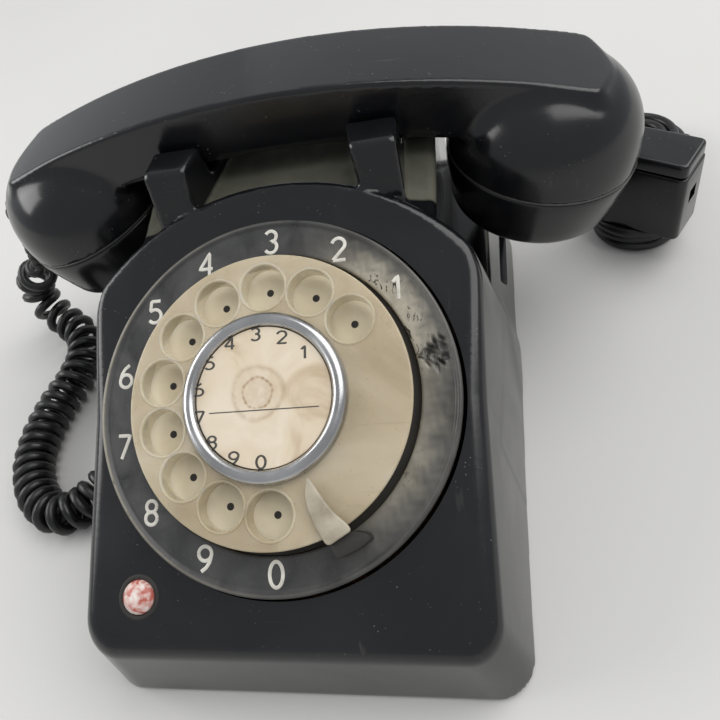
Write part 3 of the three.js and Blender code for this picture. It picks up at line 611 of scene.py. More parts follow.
# ---------- figures ----------
def glyph(character):
    """Strokes of one figure, in a box one unit high."""
    half = [arc(0.3, 0.74, 0.26, 150, -90, 10), arc(0.3, 0.26, 0.28, 90, -150, 12)]
    if character == "0":
        return [arc(0, 0, 1, 0, 360, 28) * [0.28, 0.5] + [0.3, 0.5]]
    if character == "1":
        return [np.array([[0.14, 0.76], [0.36, 1], [0.36, 0]])]
    if character == "2":
        return [np.concatenate([arc(0.3, 0.71, 0.29, 165, -30, 10), [[0.02, 0], [0.6, 0]]])]
    if character == "3":
        return [np.concatenate(half)]
    if character == "4":
        return [np.array([[0.46, 0], [0.46, 1], [0, 0.28], [0.62, 0.28]])]
    if character == "5":
        return [np.concatenate([[[0.54, 1], [0.1, 1], [0.06, 0.54]], arc(0.28, 0.31, 0.31, 128, -145, 12)])]
    if character == "7":
        return [np.array([[0.02, 1], [0.58, 1], [0.2, 0]])]
    if character == "8":
        return [arc(0.3, 0.75, 0.24, 0, 360, 16), arc(0.3, 0.26, 0.27, 0, 360, 16)]
    six = [arc(0.3, 0.29, 0.29, 0, 360, 18), np.array([[0.03, 0.38], [0.09, 0.62], [0.24, 0.84], [0.46, 1]])]
    if character == "6":
        return six
    return [np.array([0.6, 1]) - stroke for stroke in six]


def figure(character, height, thickness):
    """A printed figure as low rounded strokes about the origin, standing up along Y."""
    strokes = []
    for stroke in glyph(character):
        path = np.column_stack([(stroke - [0.3, 0.5]) * height, np.zeros(len(stroke))])
        points, faces = sweep(evenly(path, thickness * 0.5), thickness / 2, 8)
        strokes.append((points * [1, 1, 0.22], faces))
    return merged(*strokes)


def around(i, radius, lead=0.0):
    """The place of finger hole i, or of what belongs to it at another radius."""
    angle = FIRST_HOLE + i * HOLE_STEP + lead
    return np.array([radius * math.cos(angle), radius * math.sin(angle)])


# ---------- dial ----------
def smudge(x, y, size):
    """Smooth irregular variation between about -1 and 1, from a few sine waves."""
    x, y = np.asarray(x) / size, np.asarray(y) / size
    return (np.sin(2.3 * x + 1.7 * np.sin(1.9 * y)) + np.sin(3.1 * y - 1.2 * np.sin(2.7 * x + 0.8))
            + np.sin(5.3 * (x + y) + 2 * np.sin(3.7 * x - 2.9 * y))) / 3


def scar(u, v):
    """Depth and darkness of the burst in the number ring, which fans out from the wheel to the right. The darkness
    is debris with painted shade, darker where the grooves are deeper, and lighter along the raised fold as a
    painted highlight.
    """
    along = np.clip((u - 43.0) / 10.4, 0, 1)
    middle = 9.4 + 2.2 * along
    half = 0.5 + 5.8 * np.sin(math.pi * along ** 1.3) * (0.82 + 0.18 * np.sin(2.9 * u + v))
    across = (v - middle) / half
    inside = np.clip(1.2 - np.abs(across) ** 3, 0, 1) * (u > 42) * (u < 53.6)
    fan = np.arctan2(v - 9.2, u - 40.5)
    fold = np.exp(-((across + 0.3 - 0.2 * np.sin(0.9 * u)) / 0.15) ** 2)
    bends = np.sin(1.9 * u + 9 * fan) * np.sin(1.7 * v + 0.6 * u)
    ridges = np.sin(15 * fan + 2.8 * np.sin(1.1 * u + v)) + 0.9 * bends
    depth = 0.25 + 0.4 * ridges - 0.6 * fold
    # Debris, with painted shade darker in the deeper grooves and a painted highlight along the raised fold.
    return inside * depth, inside * np.clip(1.1 + 0.2 * ridges - 0.75 * fold, 0, 1)


def wear_and_highlight_of(u, v):
    """How much wear the number ring has: most near the wheel on the right, where fingers come back, with a painted
    highlight along the lip on the left.
    """
    angle, radius = np.degrees(np.arctan2(v, u)), np.hypot(u, v)
    high = 1.5 * np.exp(-((angle - 34) / 24) ** 2)
    low = 0.6 * np.exp(-((angle + 26) / 28) ** 2)
    across = np.clip((53.4 - radius - 1.6 * smudge(u, v, 4)) / 8.0, 0, 1)
    # Painted highlight: a thin pale line along the lip's top on the left side.
    lip = 0.9 * np.exp(-((radius - 54.2) / 0.35) ** 2) * np.exp(-((angle % 360 - 185) / 60) ** 2)
    used = (high + low) * (0.12 + 0.95 * across ** 1.3) * (0.9 + 0.1 * smudge(u, v, 3))
    return np.clip(used + lip, 0, 1)


def add_number_ring(material, ink):
    flat = [(r, 0.0) for r in np.linspace(52.6, 44.4, 26)]
    lip = [(54.9, 0.2), (54.8, 0.5), (54.5, 0.74), (54.1, 0.8), (53.7, 0.68), (53.3, 0.36), (52.95, 0.1)]
    edge = [(43.95, -0.08), (43.7, -0.3), (43.6, -0.7)]
    under = [(RING_INNER, -3.2), (52.6, -3.2), (52.6, -9), (54.2, -9), (54.9, -2)]
    points, faces = lathe(under + lip + flat + edge, 640)
    u, v, n = points.T
    top = (n > -0.01) & (np.hypot(u, v) < 52.8)
    depth, dark = scar(u, v)
    points[:, 2] -= np.where(top, depth, 0)
    ring = make("ring_of_numbers", (on_dial(points), faces), material, "root",
                ["number_ring"], 50)
    # Wear near the wheel, with a painted highlight on the lip's left side.
    paint(ring, "wear_and_highlight", wear_and_highlight_of(u, v))
    paint(ring, "scar", np.where(top, dark, 0))
    digits = []
    for i in range(10):
        u, v = around(i, DIGIT_CIRCLE, math.radians(-1))
        digits.append(at_dial(figure(str((i + 1) % 10), 6.9, 1.05), u, v, 0.02))
    make("ring_figures", merged(*digits), ink, "root")


def paint(obj, name, values):
    """A number for every point, read by the material under this name."""
    layer = obj.data.attributes.new(name, "FLOAT", "POINT")
    layer.data.foreach_set("value", np.asarray(values, np.float32))


def add_dial_plate(material, dots):
    plate_shape = plate(circle(0, 0, 40.2, 128), [circle(0, 0, 4, 32)], -2.3, -1.1, 0.25)
    make("plate_under_wheel", at_dial(plate_shape), material, "root", ["dial_plate"])
    # Painted shade: a black ring round the plate, under the wheel's edge, where the wheel's shadow falls.
    painted_shade_trough = lathe([(40.0, -2.3), (43.4, -2.3), (43.4, -1.5), (42.6, -1.8), (40.8, -1.8), (40.0, -1.5)], 128)
    make("plate_trough", at_dial(painted_shade_trough), dots, "root")
    spots = []
    for i in range(10):
        u, v = around(i, HOLE_CIRCLE)
        spot = lathe([(0, -1.2), (1.1, -1.2), (1.1, -1.05), (0.95, -1.0), (0, -0.98)], 28)
        spots.append(at_dial(spot, u, v))
    make("plate_dots", merged(*spots), dots, "root")


def add_finger_wheel(material, walls):
    """A thin disc with a raised middle, and a deep thin-walled well round each finger hole."""
    holes = [circle(*around(i, HOLE_CIRCLE), HOLE_RADIUS, 56) for i in range(10)]
    disc = plate(circle(0, 0, WHEEL_RADIUS + 0.2, 192), holes, WHEEL_TOP - 1.15, WHEEL_TOP, 0.5, 4)
    hub = lathe([(0, WHEEL_UNDER), (23.6, WHEEL_UNDER), (24.4, WHEEL_UNDER + 0.5), (24.4, WHEEL_TOP - 0.6),
                 (20, WHEEL_TOP), (20, CARD_SEAT - 0.2), (19.8, CARD_SEAT), (0, CARD_SEAT)], 96)
    make("wheel_with_finger_holes", at_dial(merged(disc, hub)), material, "dial_rotor",
         ["finger_wheel"], 45)
    wells = []
    for i in range(10):
        u, v = around(i, HOLE_CIRCLE)
        well = lathe([(6.6, 0.5), (7.25, 0.5), (7.35, WHEEL_TOP - 1.1), (7.55, WHEEL_TOP + 0.02),
                      (7.35, WHEEL_TOP + 0.2), (7.0, WHEEL_TOP + 0.27), (6.75, WHEEL_TOP + 0.12),
                      (6.62, WHEEL_TOP - 0.3)], 64)
        wells.append(at_dial(well, u, v))
    # The wells take a lighter copy of the ivory: painted light for their bright, lit walls and rims.
    make("finger_hole_wells", merged(*wells), walls, "dial_rotor", sharp=60)


def add_hub(chrome, card, ink, clear):
    profile = [(20.3, 5.6), (24.1, 5.6), (24.4, 5.8), (24.4, 7.0), (24.2, 7.6), (23.75, 8.2), (23.2, 8.58),
               (22.5, 8.8), (21.8, 8.78), (21.2, 8.58), (20.7, 8.2), (20.4, 7.7), (20.3, 7.2)]
    make("hub_trim_ring", at_dial(lathe(profile, 192)), chrome, "dial_rotor", ["hub_ring"], 50)
    top = CARD_SEAT + 0.6
    rings = [(r, top) for r in np.linspace(19.9, 0, 60)]
    points, faces = lathe([(0, CARD_SEAT + 0.3), (20, CARD_SEAT + 0.3), (20, top - 0.05)] + rings, 160)
    paper = make("number_card", (on_dial(points), faces), card, "dial_rotor", ["label_card"])
    paint(paper, "ring_stain", ring_stain(*points.T[:2]))
    marks = []
    for i in range(10):
        u, v = around(i, 18.1, math.radians(1)) + CARD_SHIFT
        digit = moved(figure(str((i + 1) % 10), 3.5, 0.56), lambda p: p * [1.35, 1, 1])
        marks.append(at_dial(digit, u, v, top + 0.02))
    rule = prism([(-16, -3.92), (16.4, -3.84), (16.4, -3.54), (-16, -3.62)], top, top + 0.06)
    make("card_figures", merged(*marks, at_dial(rule)), ink, "dial_rotor")
    window = top + 0.3
    radii = np.linspace(19.9, 0, 15)
    crest = window + 0.3 + 0.75 * np.sqrt(np.maximum(0, 1 - (radii / 19.9) ** 2))
    cover = lathe([(0, window), (19.7, window), (19.9, window + 0.1), *zip(radii, crest)], 96)
    make("card_window", at_dial(cover), clear, "dial_rotor", ["label_cover"], 60)


def ring_stain(u, v):
    """Brown rings that the boss behind the card has pressed into its middle."""
    u, v = u - CARD_SHIFT[0], v - CARD_SHIFT[1] - 1.2
    radius, angle = np.hypot(u, v), np.arctan2(v, u)
    grain = 0.75 + 0.25 * np.sin(17 * angle)
    inner = grain * np.exp(-((radius - 4.4 - 0.12 * np.sin(5 * angle)) / 0.3) ** 2)
    outer = 0.35 * np.exp(-((radius - 7.6 - 0.3 * np.sin(3 * angle + 1)) / 0.7) ** 2)
    return np.clip(inner + outer + 0.16 * (radius < 4.4) + 0.1 * (radius < 7.6), 0, 1)


def add_finger_stop(material, black_foot_and_painted_shadow):
    """A curved horn over the wheel, on a dark foot outside it. The black foot, reaching out right of the horn's
    end, is partly painted shadow.
    """
    blade = [[12.7, -22.2], [14.5, -24.6], [16.8, -28.2], [19.7, -31.9], [23.5, -35.2], [24.4, -36.8],
             [17.7, -40.9], [14.9, -36.1], [12.8, -31.3], [12, -27.2]]
    points, faces = plate(evenly_round(rounded(blade, 1.6, steps=6), 0.5), [], 0, 1.35, 0.5, 4)
    reach = np.clip((points[:, 1] + 41) / 19, 0, 1)
    points[:, 2] += 6.55 - 0.9 * (1 - reach) ** 2 + 0.25 * reach
    make("stop_horn", (on_dial(points), faces), material, "root", ["finger_stop"], 55)
    # The foot is black and reaches right of the horn's end: partly the real foot, partly painted shadow.
    foot = [[17.9, -40.6], [24.1, -36.9], [28.3, -37.6], [29.2, -39.2], [26.2, -41.4], [20, -44.2]]
    stem = plate(rounded(foot, 1.0, steps=4), [], 0.03, 5.6, 0.35, 2)
    make("stop_foot", at_dial(stem), black_foot_and_painted_shadow, "root")


def evenly_round(loop, spacing):
    """A closed outline sampled again at about this spacing."""
    closed = np.column_stack([np.vstack([loop, loop[:1]]), np.zeros(len(loop) + 1)])
    return evenly(closed, spacing)[:-1, :2]


def add_recall_button(cap, rim):
    u, v = BUTTON_PLACE
    face = -FACE_DROP
    top = [(0, face - 11.9), (2, face - 11.9), (2, face - 7), (4.9, face - 7), (4.9, face + 0.1),
           (4.75, face + 0.55), (4.4, face + 1.0), (3.7, face + 1.6), (2.7, face + 2.05), (1.4, face + 2.3),
           (0, face + 2.38)]
    make("button_cap", at_dial(lathe(top, 64), u, v), cap, "button",
         ["recall_button"])
    collar = lathe([(5.0, face - 0.6), (5.75, face - 0.6), (6.4, face + 0.02), (6.2, face + 0.22),
                    (5.7, face + 0.3), (5.15, face + 0.15)], 64)
    make("button_collar", at_dial(collar, u, v), rim, "root")


# ---------- cords ----------
def row(points):
    """Row-frame points from points measured off the dial's centre line on the table."""
    return np.asarray(points, float) + [0, DIAL[1], 0]


CURLY_ROUTE = row([
    [-80.5, 8, 12], [-83.3, 8, 12], [-88, 6.6, 11.2], [-96, -1.5, 9.2], [-106, -5.5, 8.9], [-117, 0.5, 8.9],
    [-126, 14, 8.9], [-129, 30, 8.9], [-127.5, 46, 8.9], [-123.5, 61, 8.9], [-123.5, 75, 8.9],
    [-129, 86, 9.2], [-138.5, 93.5, 11], [-146.5, 99, 16], [-149.5, 102.5, 23.5], [-147, 103, 31.5],
    [-141, 100.5, 37.2], [-135.6, 97.4, 42], [-132.2, 96.1, 46.5],
])
RELIEF = row([
    [-118.3, 94.6, 80.7], [-121.3, 94.8, 76], [-124, 95.2, 66], [-128.5, 95.6, 55], [-132, 96, 45.5],
])
LINE_ROUTE = row([
    [30, 146, 12], [30, 152.4, 12], [30.3, 160, 10.4], [32.5, 169, 5.8], [37.5, 177, 3], [46, 183, 2.4],
    [57, 186, 2.4], [69, 186.5, 2.4], [81, 185.4, 2.4], [93, 184.6, 2.4], [104, 185.2, 2.4],
    [113.6, 187.6, 2.5],
])
PLUG_LEAD = row([
    [140.5, 154, 14.8], [140.6, 147.5, 22], [139.4, 140.5, 28.8], [136.4, 134.6, 31], [133.8, 130.6, 31],
    [132.1, 128, 31],
])
HANK_CENTRE = row([[129, 151, 0]])[0]
HANK_TURN = math.radians(-10.5)
HANK_REACH = 23.0
PLUG_CENTRE = row([[126, 119, 13.6]])[0]
PLUG_TURN = math.radians(-33)
PLUG_WIDTH, PLUG_DEPTH, PLUG_HEIGHT = 34.0, 20.0, 35.0


def curl(route):
    """The wire's line, wound round the route: straight tails, tight coils, looser ones near the handset."""
    path = smooth_route(route, 0.25)
    walked = np.concatenate([[0], np.cumsum(np.linalg.norm(np.diff(path, axis=0), axis=1))])
    total = walked[-1]
    share = walked / total
    pitch = lerp(5.3, 8.4, np.clip((share - 0.5) / 0.3, 0, 1))
    in_coil = np.clip(walked / 12, 0, 1) * np.clip((total - walked) / 10, 0, 1)
    radius = (CURL_RADIUS - CURL_WIRE / 2) * in_coil * in_coil * (3 - 2 * in_coil)
    angle = np.concatenate([[0], np.cumsum(2 * math.pi / pitch[1:] * np.diff(walked))])
    along = np.gradient(path, axis=0)
    along /= np.linalg.norm(along, axis=1)[:, None]
    side = np.cross(along[0], [0.0, 0.0, 1.0])
    sides = []
    for ahead in along:
        side = side - ahead * (side @ ahead)
        side /= np.linalg.norm(side)
        sides.append(side)
    sides = np.array(sides)
    others = np.cross(along, sides)
    turns = np.interp(np.arange(0, angle[-1], 2 * math.pi / 20), angle, np.arange(len(angle)))
    wound_on = lambda values: np.stack([np.interp(turns, np.arange(len(angle)), v) for v in values.T], axis=1)
    a = np.interp(turns, np.arange(len(angle)), angle)[:, None]
    r = np.interp(turns, np.arange(len(angle)), radius)[:, None]
    return wound_on(path) + r * (np.cos(a) * wound_on(sides) + np.sin(a) * wound_on(others))


def hank_point(turn):
    """A point of the hank, by how many turns have been laid: in, out and in again, one layer on another."""
    radius = np.interp(turn, [0, 2, 2.25, 4.2, 4.4, 6.4], [18.7, 9.6, 9.6, 18.7, 18.7, 9.6])
    height = np.interp(turn, [2, 2.25, 4.2, 4.4], [2.75, 7.05, 7.05, 11.35])
    phase = turn % 1
    arc_share, straight = 0.2444, 0.2556
    if phase < arc_share:
        angle = math.pi * (1 - phase / arc_share)
        return [radius * math.cos(angle), HANK_REACH + radius * math.sin(angle), height]
    if phase < 0.5:
        return [radius, HANK_REACH - 2 * HANK_REACH * (phase - arc_share) / straight, height]
    if phase < 0.5 + arc_share:
        angle = -math.pi * (phase - 0.5) / arc_share
        return [radius * math.cos(angle), -HANK_REACH + radius * math.sin(angle), height]
    return [-radius, -HANK_REACH + 2 * HANK_REACH * (phase - 0.5 - arc_share) / straight, height]


def line_path():
    """The line cord's whole length: from the body to the hank, through it, and up into the plug."""
    turns = np.arange(0.0815, 6.3055, 0.02)
    hank = turned_about_z([hank_point(t) for t in turns], HANK_TURN, HANK_CENTRE)
    return smooth_route(np.concatenate([LINE_ROUTE, hank[1:], PLUG_LEAD]), 1.6)


def ribbed_gland(length, shoulder, through, tip):
    """A moulded cord bush with a flange and ribs that thin out towards its tip."""
    profile = [(tip - 1.3, -6.4), (through + 1.6, -6.4), (through + 2, -6.1), (through + 2, -4.7),
               (through, -4.6), (through, 1.7), (shoulder, 1.8), (shoulder + 0.15, 2.3), (shoulder, 3.2)]
    ribs = 5
    for i in range(ribs):
        start = 3.6 + (length - 4.4) * i / ribs
        pitch = (length - 4.4) / ribs
        radius = lerp(shoulder - 0.3, tip, (i + 0.5) / ribs)
        profile += [(radius - 0.55, start + 0.1), (radius - 0.55, start + 0.32 * pitch),
                    (radius, start + 0.42 * pitch), (radius, start + 0.9 * pitch)]
    return lathe(profile + [(tip - 0.2, length - 0.4), (tip - 0.6, length), (tip - 1.3, length)], 48)


def add_cords(cord_material, rubber):
    wire = curl(CURLY_ROUTE)
    curly = make("coiled_cord", sweep(wire, CURL_WIRE / 2, 8), cord_material, None,
                 ["curly_cord"], 80)
    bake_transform(curly)

    sleeve_path = smooth_route(RELIEF, 0.35)
    t = np.linspace(0, 1, len(sleeve_path))
    ribs = 0.45 * (np.sin(2 * math.pi * 9 * t) > 0.1) * (t > 0.06) * (t < 0.97)
    sleeve = sweep(sleeve_path, lerp(4.3, 2.5, t) + ribs - 0.15, 20)
    make("relief_sleeve", sleeve, rubber, "handset", ["handset_relief"], 50)
    bush = moved(ribbed_gland(14, 5.2, 4.1, 3.3),
                 lambda p: np.stack([-p[:, 2], p[:, 1], p[:, 0]], axis=1) + CURLY_EXIT)
    make("curly_cord_bush", bush, rubber, "root", ["handset_gland"], 50)

    path = line_path()
    line = make("line_cord_whole", sweep(path, LINE_DIAMETER / 2, 12), cord_material, "root",
                ["line_cord", "line_hank", "plug_lead"], 80)
    bush = moved(ribbed_gland(18, 4.4, 3.3, 2.9),
                 lambda p: np.stack([p[:, 0], p[:, 2], p[:, 1]], axis=1) + LINE_EXIT)
    line_bush = make("line_cord_bush", bush, rubber, "root", ["line_gland"], 50)
    pieces = [line_bush, add_tie(rubber)] + add_plug()


def add_tie(material):
    """A flat band round the hank."""
    inner = wound(rounded([(-21.6, 0.35), (21.6, 0.35), (21.6, 13.85), (-21.6, 13.85)], 3.4, steps=8), 1)
    outer = inset(inner, -0.55)
    middle, half_width, count = 19.0, 1.6, len(inner)
    rings = ((inner, -half_width), (outer, -half_width), (outer, half_width), (inner, half_width))
    points, faces = [], []
    for i, (ring, shift) in enumerate(rings):
        across = np.full(count, middle + shift)
        points.append(np.column_stack([ring[:, 0], across, np.maximum(ring[:, 1], 0.02)]))
        faces += quads(i * count, (i + 1) % len(rings) * count, count)
    shape = (turned_about_z(np.concatenate(points), HANK_TURN, HANK_CENTRE), faces)
    return make("hank_tie", shape, material, "root")


def on_plug(points):
    return turned_about_z(points, PLUG_TURN, PLUG_CENTRE)


def box_outline(width, depth, radius):
    x, y = width / 2, depth / 2
    return rounded([(-x, -y), (x, -y), (x, y), (-x, y)], radius, steps=8)


def add_plug():
    black = MATERIALS["black"]
    split = PLUG_HEIGHT - 6
    case = plate(box_outline(PLUG_WIDTH, PLUG_DEPTH, 3.2), [], 0, split, 0.9, 4)
    body = make("plug_case", moved(case, on_plug), black, "root", ["plug_body"], 50)
    x = PLUG_WIDTH / 2
    notch = moved(prism([(x - 1.4, -3), (x + 1, -3), (x + 1, 3), (x - 1.4, 3)], 14, 20), on_plug)
    height = PLUG_LEAD[-1][2] - PLUG_CENTRE[2]
    port = moved(lathe([(0, 0), (3.4, 0), (3.4, 14), (0, 14)], 32), lambda p: on_plug(np.stack([
        p[:, 0], p[:, 2] + PLUG_DEPTH / 2 - 8, height - p[:, 1]], axis=1)))
    cut(body, tool(notch), tool(port))
    lid = plate(box_outline(PLUG_WIDTH - 0.8, PLUG_DEPTH - 0.8, 3), [], split + 0.12, PLUG_HEIGHT, 1.4, 5)
    lid = make("plug_cover", moved(lid, on_plug), black, "root", ["plug_lid"], 50)
    profile = [(0, 0.3), (1.6, 0.3), (1.6, 3.2), (1.35, 3.5), (1.35, 4.1), (1.6, 4.4), (1.6, 12),
               (1.3, 12.9), (0.7, 13.3), (0, 13.3)]
    pins = []
    for i, z in enumerate((8, 15, 22), 1):
        pin = moved(lathe(profile, 28), lambda p: on_plug(np.stack([
            -PLUG_WIDTH / 2 - p[:, 2], p[:, 1], z + p[:, 0]], axis=1)))
        pins.append(make(f"brass_pin_{i}", pin, MATERIALS["brass"], "root", [f"plug_pin_{i}"]))
    return [body, lid] + pins


# ---------- materials ----------
class Look:
    """A procedural material on the object's own coordinates."""

    def __init__(self, name, roughness=0.4, metallic=0.0, **sockets):
        self.material = bpy.data.materials.new(name)
        self.material.use_nodes = True
        self.tree = self.material.node_tree
        self.tree.nodes.clear()
        self.surface = self.add("ShaderNodeBsdfPrincipled")
        self.surface.inputs["Roughness"].default_value = roughness
        self.surface.inputs["Metallic"].default_value = metallic
        for socket, value in sockets.items():
            self.surface.inputs[socket.replace("_", " ")].default_value = value
        output = self.add("ShaderNodeOutputMaterial")
        self.tree.links.new(self.surface.outputs[0], output.inputs["Surface"])
        self.place = self.add("ShaderNodeTexCoord").outputs["Object"]
        self.colour = None
        self.height = None

    def add(self, kind):
        return self.tree.nodes.new(kind)

    def link(self, source, target):
        self.tree.links.new(source, target)

    def stretched(self, stretch):
        mapping = self.add("ShaderNodeMapping")
        mapping.inputs["Scale"].default_value = stretch
        self.link(self.place, mapping.inputs["Vector"])
        return mapping.outputs[0]

    def noise(self, scale, detail=4.0, stretch=None, distortion=0.0):
        node = self.add("ShaderNodeTexNoise")
        node.inputs["Scale"].default_value = scale
        node.inputs["Detail"].default_value = detail
        node.inputs["Distortion"].default_value = distortion
        self.link(self.stretched(stretch) if stretch else self.place, node.inputs["Vector"])
        return node.outputs["Fac"]

    def specks(self, scale):
        node = self.add("ShaderNodeTexVoronoi")
        node.inputs["Scale"].default_value = scale
        self.link(self.place, node.inputs["Vector"])
        return node.outputs["Distance"]

    def attribute(self, name):
        node = self.add("ShaderNodeAttribute")
        node.attribute_name = name
        return node.outputs["Fac"]

    def edges(self):
        return self.add("ShaderNodeNewGeometry").outputs["Pointiness"]

    def spread(self, source, low, high, to_low=0.0, to_high=1.0):
        node = self.add("ShaderNodeMapRange")
        for socket, value in zip(("From Min", "From Max", "To Min", "To Max"), (low, high, to_low, to_high)):
            node.inputs[socket].default_value = value
        self.link(source, node.inputs["Value"])
        return node.outputs[0]

    def times(self, a, b):
        node = self.add("ShaderNodeMath")
        node.operation = "MULTIPLY"
        self.link(a, node.inputs[0])
        self.link(b, node.inputs[1])
        return node.outputs[0]

    def ramp(self, source, *stops):
        node = self.add("ShaderNodeValToRGB")
        elements = node.color_ramp.elements
        while len(elements) < len(stops):
            elements.new(0.5)
        for element, (position, colour) in zip(elements, stops):
            element.position = position
            element.color = (*colour, 1)
        self.link(source, node.inputs[0])
        return node.outputs[0]

    def base(self, source, *stops):
        self.colour = self.ramp(source, *stops)

    def layer(self, mask, colour):
        """Lays a colour over the rest where the mask is 1."""
        node = self.add("ShaderNodeMix")
        node.data_type = "RGBA"
        self.link(mask, node.inputs["Factor"])
        self.link(self.colour, node.inputs[6])
        node.inputs[7].default_value = (*colour, 1)
        self.colour = node.outputs[2]

    def rough(self, source, low, high, smoothest, roughest):
        self.link(self.spread(source, low, high, smoothest, roughest), self.surface.inputs["Roughness"])

    def bump(self, source, strength, distance):
        node = self.add("ShaderNodeBump")
        node.inputs["Strength"].default_value = strength
        node.inputs["Distance"].default_value = distance
        self.link(source, node.inputs["Height"])
        if self.height is not None:
            self.link(self.height, node.inputs["Normal"])
        self.height = node.outputs[0]

    def done(self):
        self.link(self.colour, self.surface.inputs["Base Color"])
        if self.height is not None:
            self.link(self.height, self.surface.inputs["Normal"])
        return self.material


def plastic(name, dark, light, smooth_at, rough_at, edge, dust):
    """Old moulded plastic: smudges, fine scratches, specks of dust and paler edges."""
    look = Look(name, Specular_IOR_Level=0.5)
    smudges = look.noise(28, 6, distortion=0.6)
    scratches = look.spread(look.noise(420, 2, (1, 0.05, 0.3), 0.6), 0.69, 0.76)
    marks = look.spread(look.noise(460, 2, (0.04, 1, 0.4), 0.4), 0.7, 0.77)
    look.base(smudges, (0.3, dark), (0.75, light))
    chips = look.times(look.spread(look.edges(), 0.56, 0.66), look.spread(look.noise(150, 5), 0.5, 0.68))
    look.layer(chips, edge)
    look.layer(look.times(scratches, look.spread(smudges, 0.45, 0.75, 0, 0.5)), edge)
    look.layer(look.times(marks, look.spread(look.noise(40), 0.5, 0.65, 0, 0.5)), edge)
    # Dust and painted light on the neck's top: lighter there to stand in for the overhead light it reflects under
    # the handset.
    dust_and_painted_light = look.times(look.attribute("dust_and_painted_light"), look.spread(look.noise(90, 6), 0.3, 0.6, 0.7, 1))
    look.layer(dust_and_painted_light, (0.12, 0.12, 0.095))
    flecks = look.times(look.spread(look.specks(620), 0.15, 0.08), look.spread(look.noise(120), 0.54, 0.66))
    look.layer(flecks, dust)
    look.rough(smudges, 0.3, 0.75, smooth_at, rough_at)
    look.bump(look.noise(45, 3), 0.15, 0.0006)
    look.bump(look.noise(1100, 2), 0.08, 0.0002)
    return look.done()


def metal(name, dark, light, smooth_at, rough_at, grain=(1, 1, 1)):
    look = Look(name, metallic=1.0)
    tarnish = look.noise(45, 5, distortion=0.4)
    look.base(tarnish, (0.3, dark), (0.7, light))
    look.rough(look.noise(120, 4), 0.3, 0.7, smooth_at, rough_at)
    look.bump(look.noise(700, 2, grain), 0.15, 0.0001)
    return look.done()


def matt(name, dark, light, smooth_at, rough_at, scale=60, grain_size=600, relief=0.25, **sockets):
    look = Look(name, **sockets)
    patches = look.noise(scale, 6, distortion=0.5)
    look.base(patches, (0.3, dark), (0.7, light))
    look.rough(patches, 0.3, 0.7, smooth_at, rough_at)
    look.bump(look.noise(grain_size, 3), relief, 0.0003)
    return look.done()


def ring_look():
    look = Look("ring_plastic")
    patches = look.noise(70, 6, distortion=0.8)
    look.base(patches, (0.3, (0.024, 0.0242, 0.025)), (0.72, (0.06, 0.06, 0.058)))
    # Pale tan wear near the wheel, with a painted highlight along the lip's left side.
    wear_and_highlight = look.attribute("wear_and_highlight")
    look.layer(look.times(wear_and_highlight, look.spread(look.noise(240, 8, distortion=0.6), 0.25, 0.7, 0.7, 1)),
               (0.46, 0.42, 0.33))
    cracks = look.spread(look.noise(260, 3, (1, 0.5, 1), 3), 0.6, 0.64)
    look.layer(look.times(look.spread(wear_and_highlight, 0.4, 0.8), cracks), (0.03, 0.026, 0.02))
    look.layer(look.spread(look.specks(700), 0.1, 0.05, 0, 0.7), (0.2, 0.19, 0.16))
    # Debris in the burst, with painted shade in its deeper grooves and a painted highlight along its fold.
    scar_debris_and_painted_light = look.times(look.attribute("scar"), look.spread(look.noise(500, 6), 0.35, 0.6, 0.6, 1))
    look.layer(scar_debris_and_painted_light, (0.018, 0.016, 0.014))
    look.rough(patches, 0.3, 0.7, 0.25, 0.5)
    look.bump(look.noise(420, 5), 0.25, 0.0004)
    return look.done()


def ivory_look(name, deep, middle, pale, cover):
    """Yellowed see-through ivory plastic."""
    look = Look(name, Alpha=cover, Subsurface_Weight=0.4, Subsurface_Scale=0.004,
                Subsurface_Radius=(1.0, 0.8, 0.45), Coat_Weight=0.25, Coat_Roughness=0.12)
    stains = look.noise(38, 6, distortion=0.7)
    look.base(stains, (0.28, deep), (0.5, middle), (0.75, pale))
    look.layer(look.spread(look.noise(330, 3, (0.05, 1, 1), 0.6), 0.7, 0.76, 0, 0.35), (0.3, 0.25, 0.15))
    look.layer(look.spread(look.specks(520), 0.1, 0.05, 0, 0.6), (0.16, 0.12, 0.07))
    look.rough(stains, 0.3, 0.7, 0.2, 0.4)
    look.bump(look.noise(60, 4), 0.2, 0.0006)
    look.bump(look.noise(300, 4), 0.1, 0.0003)
    return look.done()


def card_look():
    look = Look("card_paper")
    stains = look.noise(60, 6, distortion=1.0)
    look.base(stains, (0.28, (0.5, 0.38, 0.24)), (0.45, (0.68, 0.57, 0.42)), (0.7, (0.78, 0.7, 0.57)))
    look.layer(look.times(look.attribute("ring_stain"), look.spread(look.noise(500, 4), 0.3, 0.55, 0.4, 1)),
               (0.33, 0.2, 0.09))
    look.rough(stains, 0.3, 0.7, 0.6, 0.9)
    look.bump(look.noise(900, 3), 0.2, 0.0002)
    return look.done()


def clear_look():
    look = Look("clear_cover", roughness=0.12, Alpha=0.03, IOR=1.49)
    haze = look.noise(70, 5, distortion=0.6)
    look.base(haze, (0.3, (0.7, 0.66, 0.56)), (0.7, (0.9, 0.88, 0.8)))
    look.rough(look.noise(420, 4, (0.08, 1, 1), 0.5), 0.4, 0.7, 0.08, 0.4)
    look.bump(look.noise(500, 3, (0.1, 1, 1)), 0.15, 0.0002)
    return look.done()


def button_look():
    look = Look("button_red", roughness=0.35)
    # The pale patches over the red are painted glints of the room's light.
    wear_and_highlight = look.noise(330, 5, distortion=0.7)
    look.base(wear_and_highlight, (0.4, (0.46, 0.12, 0.09)), (0.52, (0.7, 0.52, 0.47)), (0.66, (0.8, 0.75, 0.7)))
    look.layer(look.spread(look.specks(700), 0.14, 0.07, 0, 0.8), (0.08, 0.05, 0.04))
    look.bump(look.noise(600, 3), 0.3, 0.0003)
    return look.done()


